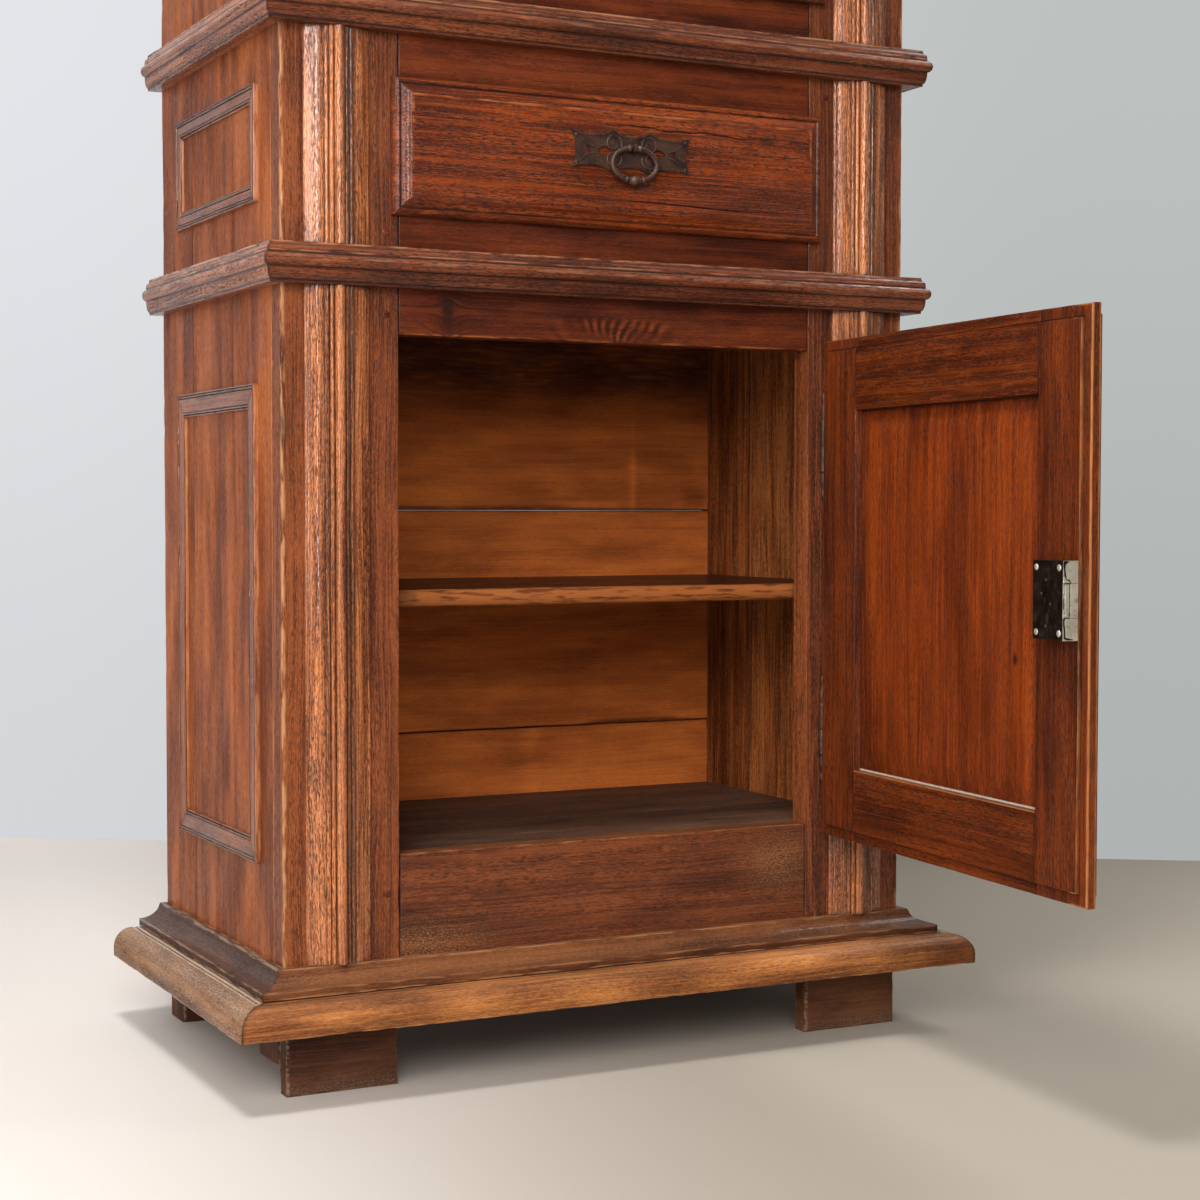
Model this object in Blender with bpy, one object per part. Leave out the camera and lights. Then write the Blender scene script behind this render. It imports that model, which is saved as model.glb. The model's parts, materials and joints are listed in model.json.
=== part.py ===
"""Tall oak buffet: two cupboards with a drawer between them, on a moulded plinth with block feet.

All lengths are in metres, +Z is up and the front faces -Y. The pieces are laid out from the
front left corner of the case at floor level, and a root empty then brings the middle of the
whole object, with the lower door standing open, over the origin.
"""

import math

import bmesh
import bpy
from mathutils import Vector

# Fits between pieces
GAP = 0.0003
DOOR_CLEARANCE = 0.002
FACE_GAP = 0.0005
BOLT_CLEARANCE = 0.001
DRAWER_PLAY = 0.003

# Case
CASE_WIDTH = 0.804
CASE_DEPTH = 0.452
POST_THICKNESS = 0.030
RAIL_THICKNESS = 0.028
SIDE_THICKNESS = 0.025
BACK_THICKNESS = 0.019
BACK_PLANK = 0.295
BACK_FIRST_JOINT = 0.087
PLANK_GROOVE = 0.0025
BOARD_THICKNESS = 0.018
TOP_THICKNESS = 0.018
WORN_EDGE = 0.001
FLOOR_DROP = 0.002

# Post face, from its outer edge inwards: strip, half pilaster twice, flat stile
OUTER_STRIP = 0.026
EDGE_FILLET = 0.004
BAND_WIDTH = 0.017
REED_WIDTH = 0.0055
REED_COUNT = 2
BEAD_WIDTH = 0.012
STILE_FLAT = 0.034
FILLET_RISE = 0.003
BAND_RISE = 0.0055
REED_RISE = 0.0022
REED_STEP = 0.0014
BEAD_RISE = 0.0058

# Heights of what shows on the front, from the floor up
FOOT_HEIGHT = 0.080
PLINTH_HEIGHT = 0.0636
BOTTOM_RAIL = 0.115
DOOR_OPENING = 0.575
DOOR_HEAD = 0.050
WAIST_HEIGHT = 0.044
DRAWER_SILL = 0.046
DRAWER_OPENING = 0.131
DRAWER_HEAD = 0.057
UPPER_SILL = 0.055
CORNICE_HEIGHT = 0.106

# Feet
FOOT_WIDTH = 0.130
FOOT_INSET = 0.004
LEFT_FOOT_DEPTH = 0.100
RIGHT_FOOT_DEPTH = 0.045
BACK_FOOT_DEPTH = 0.060
FOOT_EDGE = 0.004

# Plinth
PLINTH_LEDGE = 0.010
CAVETTO_REACH = 0.026
CAVETTO_DROP = 0.018
PLINTH_FILLET = 0.009
PLINTH_SHELF = 0.010
NOSE_REACH = 0.0235
NOSE_DROP = 0.024

# Waist mouldings
WAIST_FOOT = 0.0175
WAIST_CAVETTO = 0.004
TORUS_SWELL = 0.005
TORUS_HEIGHT = 0.014
WAIST_FILLET = 0.003
WAIST_CYMA = 0.010

# Cornice
CORNICE_FOOT = 0.014
CORNICE_BEAD = 0.012
CORNICE_SWEEP = 0.040
SWEEP_HEIGHT = 0.058
CORNICE_FASCIA = 0.009

# Moulding frames planted on the sides
FRAME_FRONT = 0.077
FRAME_BACK = 0.075
FRAME_END = 0.103
FRAME_WIDTH = 0.028
DRAWER_FRAME_FRONT = 0.073
DRAWER_FRAME_END = 0.052
DRAWER_FRAME_WIDTH = 0.021
FRAME_RISE = 0.009
FRAME_BEAD = 0.007
FRAME_REED = 0.0035

# Shelf in the lower cupboard
SHELF_RISE = 0.292
SHELF_SETBACK = 0.045
SHELF_THICKNESS = 0.020
SHELF_NOSE = 0.007

# Doors
LOCK_LIP = 0.011
HINGE_LIP = 0.0155
LIP_THICKNESS = 0.014
EDGE_ROUND = 0.007
EDGE_QUIRK = 0.002
FIELD_SLOPE = 0.013
FIELD_RISE = 0.006
REBATE_DEPTH = 0.0035
DOOR_STILE = 0.088
DOOR_RAIL = 0.086
GROOVE_DEPTH = 0.008
TONGUE_THICKNESS = 0.006
PANEL_RECESS = 0.006
PANEL_BACK_BEVEL = 0.026
PANEL_BACK_RISE = 0.003
PANEL_FRONT_BEVEL = 0.038
PANEL_FRONT_RISE = 0.0045
PANEL_FIELD_STEP = 0.002
STICKING = 0.008
LOWER_DOOR_ANGLE = math.radians(85)

# Barrel hinges
BARREL_RADIUS = 0.0045
PIN_RADIUS = 0.0018
PIN_CLEARANCE = 0.0004
PIN_LENGTH = 0.019
KNUCKLE_LENGTH = 0.0255
FINIAL_LENGTH = 0.040
LEAF_THICKNESS = 0.0025
LEAF_DEPTH = 0.022
HINGE_INSET = 0.126
TURNED_SIDES = 14

# Locks
LOCK_WIDTH = 0.053
LOCK_HEIGHT = 0.079
LOCK_DEPTH = 0.018
LOCK_RISE = 0.006
LOCK_EDGE = 0.0008
BOLT_HEIGHT = 0.033
BOLT_THICKNESS = 0.0055
BOLT_LENGTH = 0.030
BOLT_THROW = 0.008
BOLT_COVER = 0.0025

# Drawer
DRAWER_LIP = 0.010
DRAWER_SIDE = 0.012
DRAWER_BOTTOM = 0.008
DRAWER_BACK_SPACE = 0.031
DRAWER_HEADROOM = 0.006
DRAWER_SHOULDER = 0.012

# Ring pull and its backplate
PLATE_WIDTH = 0.154
PLATE_HEIGHT = 0.036
PLATE_THICKNESS = 0.002
HUMP_RISE = 0.006
HUMP_PLACE = 0.024
HUMP_SPREAD = 0.009
LOBE_RISE = 0.0035
LOBE_SPREAD = 0.007
END_HOLLOW = 0.006
PIERCING_PLACE = 0.034
PIERCING_WIDTH = 0.019
PIERCING_HEIGHT = 0.010
SLIT_PLACE = 0.055
SLIT_WIDTH = 0.004
SLIT_HEIGHT = 0.013
HANDLE_OFFSET = 0.012
HANDLE_RISE = 0.011
RING_HALF_WIDTH = 0.0285
RING_HALF_HEIGHT = 0.0187
RING_WIRE = 0.0031
RING_NECK = 0.0021
RING_BOSS = 0.0062
RING_COLLAR = 0.0044
RING_STANDOFF = 0.0075
EYE_DROP = 0.004
EYE_THICKNESS = 0.0036
EYE_WALL = 0.0020
EYE_CLEARANCE = 0.0006

# Heights above the floor that follow from the sizes above
Z_PLINTH_TOP = FOOT_HEIGHT + PLINTH_HEIGHT
Z_LOWER_DOOR = Z_PLINTH_TOP + BOTTOM_RAIL
Z_WAIST_LOW = Z_LOWER_DOOR + DOOR_OPENING + DOOR_HEAD
Z_DRAWER_STAGE = Z_WAIST_LOW + WAIST_HEIGHT
Z_DRAWER = Z_DRAWER_STAGE + DRAWER_SILL
Z_WAIST_HIGH = Z_DRAWER + DRAWER_OPENING + DRAWER_HEAD
Z_UPPER_STAGE = Z_WAIST_HIGH + WAIST_HEIGHT
Z_UPPER_DOOR = Z_UPPER_STAGE + UPPER_SILL
Z_CORNICE = Z_UPPER_DOOR + DOOR_OPENING + DOOR_HEAD
Z_TOP = Z_CORNICE + CORNICE_HEIGHT
Z_CASE_TOP = Z_TOP - TOP_THICKNESS

# Widths that follow
HALF_PILASTER = EDGE_FILLET + BAND_WIDTH + REED_COUNT * REED_WIDTH + BEAD_WIDTH / 2
POST_WIDTH = OUTER_STRIP + 2 * HALF_PILASTER + STILE_FLAT
OPENING_LEFT = POST_WIDTH
OPENING_RIGHT = CASE_WIDTH - POST_WIDTH
INSIDE_LEFT = SIDE_THICKNESS + GAP
INSIDE_RIGHT = CASE_WIDTH - SIDE_THICKNESS - GAP
INSIDE_FRONT = POST_THICKNESS + GAP
INSIDE_BACK = CASE_DEPTH - BACK_THICKNESS - GAP

# Hinge axis: just clear of the lip's edge and of the post's face
AXIS_STANDOFF = BARREL_RADIUS + FACE_GAP
AXIS_X = OPENING_RIGHT + HINGE_LIP + AXIS_STANDOFF
DOOR_RIGHT = -AXIS_STANDOFF
DOOR_LEFT = OPENING_LEFT - LOCK_LIP - AXIS_X
LIP_BACK = AXIS_STANDOFF - FACE_GAP
DOOR_BACK = LIP_BACK + REBATE_DEPTH
FIELD_FRONT = LIP_BACK - LIP_THICKNESS - FIELD_RISE


def clear_scene():
    """Remove every object the file starts with."""
    for old in list(bpy.data.objects):
        bpy.data.objects.remove(old, do_unlink=True)


def finish(name, colour, roughness, metallic=0.0):
    """Return a plain material with the colour, gloss and metal of one surface."""
    surface = bpy.data.materials.new(name)
    surface.use_nodes = True
    shader = surface.node_tree.nodes["Principled BSDF"]
    shader.inputs["Base Color"].default_value = (*colour, 1.0)
    shader.inputs["Roughness"].default_value = roughness
    shader.inputs["Metallic"].default_value = metallic
    return surface


def empty(name, location, parent=None):
    """Return an empty that carries pieces; it stands for a joint's axis or for the whole object."""
    carrier = bpy.data.objects.new(name, None)
    carrier.location = location
    carrier.parent = parent
    bpy.context.scene.collection.objects.link(carrier)
    return carrier


def piece(name, shape, surface, parent):
    """Turn a finished bmesh into a named object that hangs on its carrier."""
    mesh = bpy.data.meshes.new(name)
    shape.to_mesh(mesh)
    shape.free()
    mesh.materials.append(surface)
    mesh.shade_smooth()
    mesh.set_sharp_from_angle(angle=math.radians(35))
    solid = bpy.data.objects.new(name, mesh)
    solid.parent = parent
    bpy.context.scene.collection.objects.link(solid)
    return solid


def combine(solid, shape, operation):
    """Cut the shape out of a solid, join it on, or keep only what lies in it."""
    tool = piece("tool", shape, solid.data.materials[0], solid.parent)
    step = solid.modifiers.new(operation.lower(), "BOOLEAN")
    step.operation = operation
    step.solver = "EXACT"
    step.object = tool
    bpy.context.view_layer.update()
    view = bpy.context.evaluated_depsgraph_get()
    old_mesh = solid.data
    solid.data = bpy.data.meshes.new_from_object(solid.evaluated_get(view))
    solid.modifiers.clear()
    solid.data.name = solid.name
    bpy.data.meshes.remove(old_mesh)
    bpy.data.objects.remove(tool, do_unlink=True)
    return solid


def arc(centre, radii, start, end, steps):
    """Return points on an elliptical arc between two angles in degrees, both ends included."""
    angles = [math.radians(start + (end - start) * i / steps) for i in range(steps + 1)]
    return [(centre[0] + radii[0] * math.cos(a), centre[1] + radii[1] * math.sin(a)) for a in angles]


def loft(rings, closed=False):
    """Return a skin that joins each ring of points to the next and caps the two end rings."""
    shape = bmesh.new()
    loops = [[shape.verts.new(point) for point in ring] for ring in rings]
    pairs = list(zip(loops, loops[1:]))
    if closed:
        pairs.append((loops[-1], loops[0]))
    else:
        shape.faces.new(loops[0])
        shape.faces.new(loops[-1])
    for near, far in pairs:
        for i in range(len(near)):
            j = (i + 1) % len(near)
            shape.faces.new((near[i], near[j], far[j], far[i]))
    bmesh.ops.recalc_face_normals(shape, faces=shape.faces)
    return shape


def box(low, high, edge=0.0):
    """Return a block between two corners, with its arrises rounded where an edge is given."""
    shape = plate([(low[0], high[0], low[2], high[2], y) for y in (low[1], high[1])])
    if edge > 0:
        bmesh.ops.bevel(shape, geom=shape.edges[:], offset=edge, segments=2, profile=0.5, affect="EDGES")
    return shape


def plate(levels):
    """Return a rectangular plate from levels of (left, right, bottom, top, y), from one face to the other."""
    return loft([[(x0, y, z0), (x1, y, z0), (x1, y, z1), (x0, y, z1)] for x0, x1, z0, z1, y in levels])


def turned(profile, sides):
    """Return a turned solid from (radius, height) points; the end points' rings are capped."""
    angles = [2 * math.pi * i / sides for i in range(sides)]
    return loft([[(r * math.cos(a), r * math.sin(a), z) for a in angles] for r, z in profile])


def moved(shape, offset):
    """Shift a bmesh and return it."""
    bmesh.ops.translate(shape, vec=Vector(offset), verts=shape.verts)
    return shape


def stage_spans():
    """Return the (bottom, top) heights of the lower, drawer and upper stages."""
    return (
        (Z_PLINTH_TOP, Z_WAIST_LOW),
        (Z_DRAWER_STAGE, Z_WAIST_HIGH),
        (Z_UPPER_STAGE, Z_CORNICE),
    )


def half_pilaster():
    """Return (distance, rise) points from a pilaster's edge to the foot of its central bead."""
    points = [(0.0, 0.0)]
    points += arc((EDGE_FILLET, 0.0), (EDGE_FILLET, FILLET_RISE), 180, 90, 4)[1:]
    steps = 6
    for i in range(1, steps + 1):
        t = i / steps
        points.append((EDGE_FILLET + BAND_WIDTH * t, FILLET_RISE + BAND_RISE * math.sin(t * math.pi / 2)))
    for reed in range(REED_COUNT):
        centre = EDGE_FILLET + BAND_WIDTH + REED_WIDTH * (reed + 0.5)
        base = FILLET_RISE + BAND_RISE + REED_STEP * reed
        points += arc((centre, base), (REED_WIDTH / 2, REED_RISE), 180, 0, 6)[1:]
    return points


def pilaster_outline():
    """Return the symmetric pilaster face as (distance, rise), with a half-round bead in the middle."""
    rising = half_pilaster()
    foot = FILLET_RISE + BAND_RISE + REED_STEP * REED_COUNT
    bead = arc((HALF_PILASTER, foot), (BEAD_WIDTH / 2, BEAD_RISE), 180, 0, 10)
    falling = [(2 * HALF_PILASTER - distance, rise) for distance, rise in reversed(rising)]
    return rising + bead + falling


def front_posts(surface, root):
    """Make the two posts: a full-height board with a pilaster worked on it at each stage."""
    posts = {}
    for name, outer, inwards in (("left_post", 0.0, 1), ("right_post", CASE_WIDTH, -1)):
        inner = outer + inwards * POST_WIDTH
        low = (min(outer, inner), 0.0, FOOT_HEIGHT)
        high = (max(outer, inner), POST_THICKNESS, Z_CASE_TOP)
        post = piece(name, box(low, high, WORN_EDGE), surface, root)
        root_depth = POST_THICKNESS / 3
        face = [(0.0, -root_depth)] + pilaster_outline() + [(2 * HALF_PILASTER, -root_depth)]
        for bottom, top in stage_spans():
            rings = [
                [(outer + inwards * (OUTER_STRIP + d), -rise, z) for d, rise in face]
                for z in (bottom + GAP, top - GAP)
            ]
            combine(post, loft(rings), "UNION")
        posts[name] = post
    return posts


def rails(surface, root):
    """Make the four rails that close the front between the posts."""
    spans = (
        ("bottom_rail", FOOT_HEIGHT, Z_LOWER_DOOR),
        ("drawer_sill_rail", Z_LOWER_DOOR + DOOR_OPENING, Z_DRAWER),
        ("drawer_head_rail", Z_DRAWER + DRAWER_OPENING, Z_UPPER_DOOR),
        ("top_rail", Z_UPPER_DOOR + DOOR_OPENING, Z_CASE_TOP),
    )
    for name, bottom, top in spans:
        low = (OPENING_LEFT + GAP, 0.0, bottom)
        high = (OPENING_RIGHT - GAP, RAIL_THICKNESS, top)
        piece(name, box(low, high, WORN_EDGE), surface, root)


def feet(surface, root):
    """Make the four block feet under the corners of the case."""
    right = CASE_WIDTH - FOOT_INSET - FOOT_WIDTH
    back = CASE_DEPTH - BACK_FOOT_DEPTH
    blocks = (
        ("front_left_foot", FOOT_INSET, 0.0, LEFT_FOOT_DEPTH),
        ("front_right_foot", right, 0.0, RIGHT_FOOT_DEPTH),
        ("back_left_foot", FOOT_INSET, back, BACK_FOOT_DEPTH),
        ("back_right_foot", right, back, BACK_FOOT_DEPTH),
    )
    for name, x, y, depth in blocks:
        high = (x + FOOT_WIDTH, y + depth, FOOT_HEIGHT - GAP)
        piece(name, box((x, y, 0.0), high, FOOT_EDGE), surface, root)


def plinth_outline():
    """Return the plinth's section as (reach, height): ledge, cavetto, fillet, round-nosed board."""
    fillet = PLINTH_LEDGE + CAVETTO_REACH
    shelf = fillet + PLINTH_SHELF
    top = Z_PLINTH_TOP
    shelf_z = top - CAVETTO_DROP - PLINTH_FILLET
    points = [(GAP, top)]
    points += [(fillet - (x - fillet), z) for x, z in arc((fillet, top), (CAVETTO_REACH, CAVETTO_DROP), 0, -90, 6)]
    points += [(fillet, shelf_z)]
    points += arc((shelf, shelf_z - NOSE_DROP), (NOSE_REACH, NOSE_DROP), 90, 0, 8)
    points += [(shelf + NOSE_REACH, FOOT_HEIGHT), (GAP, FOOT_HEIGHT)]
    return points


def waist_outline(bottom):
    """Return a waist moulding's section as (reach, height): cavetto, torus, fillet and cyma."""
    top = bottom + WAIST_HEIGHT
    neck = WAIST_FOOT + WAIST_CAVETTO
    torus_top = top - WAIST_CYMA - WAIST_FILLET
    torus_foot = torus_top - TORUS_HEIGHT
    cavetto_foot = bottom + WAIST_FILLET
    points = [(GAP, bottom), (WAIST_FOOT, bottom), (WAIST_FOOT, cavetto_foot)]
    cavetto = arc((WAIST_FOOT, torus_foot), (WAIST_CAVETTO, torus_foot - cavetto_foot), -90, 0, 5)
    points += cavetto[1:]
    swell = arc((neck, (torus_foot + torus_top) / 2), (TORUS_SWELL, TORUS_HEIGHT / 2), -90, 90, 8)
    points += swell[1:]
    points += [(neck, torus_top + WAIST_FILLET)]
    half = WAIST_CYMA / 2
    drift = WAIST_CAVETTO / 2
    points += arc((neck - drift, torus_top + WAIST_FILLET), (drift, half), 0, 90, 4)[1:]
    points += arc((neck - drift, top), (drift, half), -90, -180, 4)[1:]
    points += [(GAP, top)]
    return points


def cornice_outline():
    """Return the cornice's section as (reach, height): bead, long cyma sweep, fascia."""
    bead_z = Z_CORNICE + CORNICE_BEAD
    sweep_foot = bead_z + CORNICE_FASCIA
    sweep_top = sweep_foot + SWEEP_HEIGHT
    half = SWEEP_HEIGHT / 2
    mid = CORNICE_FOOT + CORNICE_SWEEP / 2
    points = [(GAP, Z_CORNICE)]
    bead_centre = (CORNICE_FOOT, Z_CORNICE + CORNICE_BEAD / 2)
    points += arc(bead_centre, (CORNICE_BEAD / 2, CORNICE_BEAD / 2), -90, 90, 6)
    points += [(CORNICE_FOOT, sweep_foot)]
    points += arc((CORNICE_FOOT, sweep_foot + half), (CORNICE_SWEEP / 2, half), -90, 0, 6)[1:]
    points += arc((mid + CORNICE_SWEEP / 2, sweep_foot + half), (CORNICE_SWEEP / 2, half), 180, 90, 6)[1:]
    rim = mid + CORNICE_SWEEP / 2 + CORNICE_FASCIA
    points += [(rim, sweep_top), (rim, Z_TOP), (GAP, Z_TOP)]
    return points


def mitred_run(prefix, outline, surface, root):
    """Make the front and side lengths of a moulding round the case, mitred at the front corners."""
    slack = GAP * math.sqrt(0.5)
    front = [
        [(-reach + slack, -reach, z) for reach, z in outline],
        [(CASE_WIDTH + reach - slack, -reach, z) for reach, z in outline],
    ]
    left = [
        [(-reach, -reach + slack, z) for reach, z in outline],
        [(-reach, CASE_DEPTH, z) for reach, z in outline],
    ]
    right = [[(CASE_WIDTH - x, y, z) for x, y, z in ring] for ring in left]
    for side, rings in (("front", front), ("left", left), ("right", right)):
        piece(f"{prefix}_{side}", loft(rings), surface, root)


def cornice(surface, root):
    """Make the cornice as one glued length round three sides."""
    outline = cornice_outline()
    rings = [
        [(-reach, CASE_DEPTH, z) for reach, z in outline],
        [(-reach, -reach, z) for reach, z in outline],
        [(CASE_WIDTH + reach, -reach, z) for reach, z in outline],
        [(CASE_WIDTH + reach, CASE_DEPTH, z) for reach, z in outline],
    ]
    piece("cornice", loft(rings), surface, root)


def frame_section(width):
    """Return a planted frame's section as (distance from its outer edge, rise): bead, band, two reeds."""
    bead = FRAME_BEAD / 2
    reed = FRAME_REED / 2
    shoulder = FRAME_RISE - bead
    points = [(0.0, 0.0)]
    points += arc((bead, shoulder), (bead, bead), 180, 0, 6)
    points += [(FRAME_BEAD, shoulder - reed), (width - 2 * FRAME_REED, shoulder - reed / 2)]
    points += arc((width - 3 * reed, shoulder - 2 * reed), (reed, reed), 180, 0, 4)
    points += arc((width - reed, reed), (reed, reed), 180, 0, 4)
    points += [(width, 0.0)]
    return points


def side_frames(surface, root):
    """Make the mitred moulding frames planted on both sides, one for each stage."""
    lower, drawer, upper = stage_spans()
    frames = (
        ("lower", lower, FRAME_FRONT, FRAME_END, FRAME_WIDTH),
        ("drawer", drawer, DRAWER_FRAME_FRONT, DRAWER_FRAME_END, DRAWER_FRAME_WIDTH),
        ("upper", upper, FRAME_FRONT, FRAME_END, FRAME_WIDTH),
    )
    for side, face, outwards in (("left", 0.0, -1), ("right", CASE_WIDTH, 1)):
        for stage, (bottom, top), front, end, width in frames:
            section = frame_section(width)
            y0, y1 = front, CASE_DEPTH - FRAME_BACK
            z0, z1 = bottom + end, top - end
            rings = []
            for y, z, dy, dz in ((y0, z0, 1, 1), (y1, z0, -1, 1), (y1, z1, -1, -1), (y0, z1, 1, -1)):
                rings.append(
                    [(face + outwards * (GAP + rise), y + dy * d, z + dz * d) for d, rise in section]
                )
            piece(f"{side}_{stage}_side_frame", loft(rings, closed=True), surface, root)


def side_boards(surface, root):
    """Make the two plain sides, behind the posts."""
    for name, x in (("left_side", 0.0), ("right_side", CASE_WIDTH - SIDE_THICKNESS)):
        low = (x, POST_THICKNESS + GAP, FOOT_HEIGHT)
        high = (x + SIDE_THICKNESS, CASE_DEPTH, Z_CASE_TOP)
        piece(name, box(low, high, WORN_EDGE), surface, root)


def back_panel(surface, root):
    """Make the back of horizontal planks, with an open joint line between planks on both faces."""
    front, back = CASE_DEPTH - BACK_THICKNESS, CASE_DEPTH
    joints = []
    z = Z_LOWER_DOOR + BACK_FIRST_JOINT
    while z < Z_CASE_TOP - PLANK_GROOVE:
        joints.append(z)
        z += BACK_PLANK
    inner = [(front, FOOT_HEIGHT)]
    for z in joints:
        inner += [(front, z - PLANK_GROOVE), (front + PLANK_GROOVE, z), (front, z + PLANK_GROOVE)]
    inner.append((front, Z_CASE_TOP))
    outer = [(front + back - y, z) for y, z in reversed(inner)]
    rings = [[(x, y, z) for y, z in inner + outer] for x in (INSIDE_LEFT, INSIDE_RIGHT)]
    piece("back_panel", loft(rings), surface, root)


def inner_boards(surface, root):
    """Make the cupboard floors, the board under the drawer and the shelf with its rounded nose."""
    levels = (
        ("lower_floor", Z_LOWER_DOOR - FLOOR_DROP),
        ("drawer_board", Z_DRAWER),
        ("upper_floor", Z_UPPER_DOOR - FLOOR_DROP),
    )
    for name, top in levels:
        low = (INSIDE_LEFT, INSIDE_FRONT, top - BOARD_THICKNESS)
        piece(name, box(low, (INSIDE_RIGHT, INSIDE_BACK, top)), surface, root)
    top = Z_LOWER_DOOR + SHELF_RISE
    bottom = top - SHELF_THICKNESS
    nose = SHELF_SETBACK + SHELF_NOSE
    section = [(INSIDE_BACK, bottom)]
    section += [(nose, bottom)]
    section += [
        (nose - (y - nose), z)
        for y, z in arc((nose, (bottom + top) / 2), (SHELF_NOSE, SHELF_THICKNESS / 2), -90, 90, 8)[1:]
    ]
    section += [(INSIDE_BACK, top)]
    rings = [[(x, y, z) for y, z in section] for x in (INSIDE_LEFT, INSIDE_RIGHT)]
    piece("lower_shelf", loft(rings), surface, root)


def top_board(surface, root):
    """Make the board that closes the case, inside the cornice's rim."""
    piece("top_board", box((0.0, 0.0, Z_CASE_TOP + GAP), (CASE_WIDTH, CASE_DEPTH, Z_TOP)), surface, root)


def moulded_edge():
    """Return the lipped edge's face as (inset, forward): square edge, round, quirk, slope to the field."""
    square = LIP_THICKNESS - EDGE_ROUND
    points = [(0.0, 0.0), (0.0, square)]
    points += arc((EDGE_ROUND, square), (EDGE_ROUND, EDGE_ROUND), 180, 90, 5)[1:]
    foot = EDGE_ROUND + EDGE_QUIRK
    points += [(foot, LIP_THICKNESS)]
    steps = 5
    for i in range(1, steps + 1):
        t = i / steps
        points.append((foot + FIELD_SLOPE * t, LIP_THICKNESS + FIELD_RISE * math.sin(t * math.pi / 2)))
    return points


def lipped_front(left, right, bottom, top, lip_back, shoulder):
    """Return a fielded front whose lip lies on the frame and whose shoulder enters the opening.

    The shoulder is (left, right, bottom, top, depth): how far it stands in from each edge and back.
    """
    in_left, in_right, in_bottom, in_top, depth = shoulder
    levels = [
        (left + in_left, right - in_right, bottom + in_bottom, top - in_top, lip_back + depth),
        (left + in_left, right - in_right, bottom + in_bottom, top - in_top, lip_back),
    ]
    for inset, forward in moulded_edge():
        levels.append((left + inset, right - inset, bottom + inset, top - inset, lip_back - forward))
    return plate(levels)


def door_blank(bottom, top):
    """Return the whole door as one moulded slab, before it is parted into stiles and rails."""
    shoulder = (
        LOCK_LIP + DOOR_CLEARANCE,
        HINGE_LIP + DOOR_CLEARANCE,
        LOCK_LIP + DOOR_CLEARANCE,
        LOCK_LIP + DOOR_CLEARANCE,
        REBATE_DEPTH,
    )
    return lipped_front(DOOR_LEFT, DOOR_RIGHT, bottom, top, LIP_BACK, shoulder)


def panel_groove(x0, x1, z0, z1, spare):
    """Return the slab that the panel's tongue fills; with a spare it is the groove's own shape."""
    reach = GROOVE_DEPTH if spare else GROOVE_DEPTH - GAP
    back = DOOR_BACK - PANEL_RECESS - PANEL_BACK_RISE
    low = (x0 - reach, back - TONGUE_THICKNESS - spare, z0 - reach)
    return box(low, (x1 + reach, back + spare, z1 + reach))


def panel_sticking(x0, x1, z0, z1):
    """Return the quarter-round cut along the frame's inner front edges."""
    levels = [(x0, x1, z0, z1, FIELD_FRONT + STICKING)]
    for d, forward in arc((STICKING, 0.0), (STICKING, STICKING), 180, 90, 4)[1:]:
        levels.append((x0 - d, x1 + d, z0 - d, z1 + d, FIELD_FRONT + STICKING - forward))
    last = levels[-1]
    levels.append((*last[:4], FIELD_FRONT - STICKING))
    return plate(levels)


def door_panel(name, x0, x1, z0, z1, surface, carrier):
    """Make the panel: a tongue in the grooves, a raised field in front, a shallow bevel behind."""
    tongue_back = DOOR_BACK - PANEL_RECESS - PANEL_BACK_RISE
    tongue_front = tongue_back - TONGUE_THICKNESS
    outset = GROOVE_DEPTH - GAP
    steps = (
        (PANEL_BACK_BEVEL, tongue_back + PANEL_BACK_RISE),
        (GAP, tongue_back),
        (-outset, tongue_back),
        (-outset, tongue_front),
        (GAP, tongue_front),
        (PANEL_FRONT_BEVEL, tongue_front - PANEL_FRONT_RISE),
        (PANEL_FRONT_BEVEL, tongue_front - PANEL_FRONT_RISE - PANEL_FIELD_STEP),
    )
    levels = [(x0 + inset, x1 - inset, z0 + inset, z1 - inset, y) for inset, y in steps]
    piece(name, plate(levels), surface, carrier)


def finial(base, tip, end):
    """Return the turned outline of a hinge's vase and ball, from its collar to its tip."""
    length = tip - base
    outline = (
        (1.00, 0.00),
        (1.06, 0.05),
        (1.06, 0.13),
        (0.62, 0.18),
        (1.00, 0.38),
        (0.90, 0.50),
        (0.48, 0.66),
        (0.48, 0.70),
        (0.80, 0.82),
        (0.58, 0.94),
    )
    points = [(BARREL_RADIUS * radius, base + length * share) for radius, share in outline]
    return points + [(end, tip)]


def hinge_halves(prefix, centres, surface, carrier, fixed):
    """Make each hinge's door half, with its socket, and its post half, with its pin."""
    bore = PIN_RADIUS + PIN_CLEARANCE
    point = BARREL_RADIUS / 5
    for place, z in zip(("lower", "upper"), centres):
        socket = [(bore, PIN_LENGTH + PIN_CLEARANCE), (bore, GAP), (BARREL_RADIUS, GAP)]
        door_half = turned(socket + finial(KNUCKLE_LENGTH, KNUCKLE_LENGTH + FINIAL_LENGTH, point), TURNED_SIDES)
        half = piece(f"{prefix}_{place}_hinge_door_half", moved(door_half, (0, 0, z)), surface, carrier)
        combine(half, door_leaf(z, 0.0), "UNION")

        pin = [(PIN_RADIUS, PIN_LENGTH), (PIN_RADIUS, -GAP), (BARREL_RADIUS, -GAP)]
        post_half = turned(pin + finial(-KNUCKLE_LENGTH, -KNUCKLE_LENGTH - FINIAL_LENGTH, point), TURNED_SIDES)
        half = piece(f"{prefix}_{place}_hinge_post_half", moved(post_half, (0, 0, z)), surface, fixed)
        combine(half, post_leaf(z, 0.0), "UNION")


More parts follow.
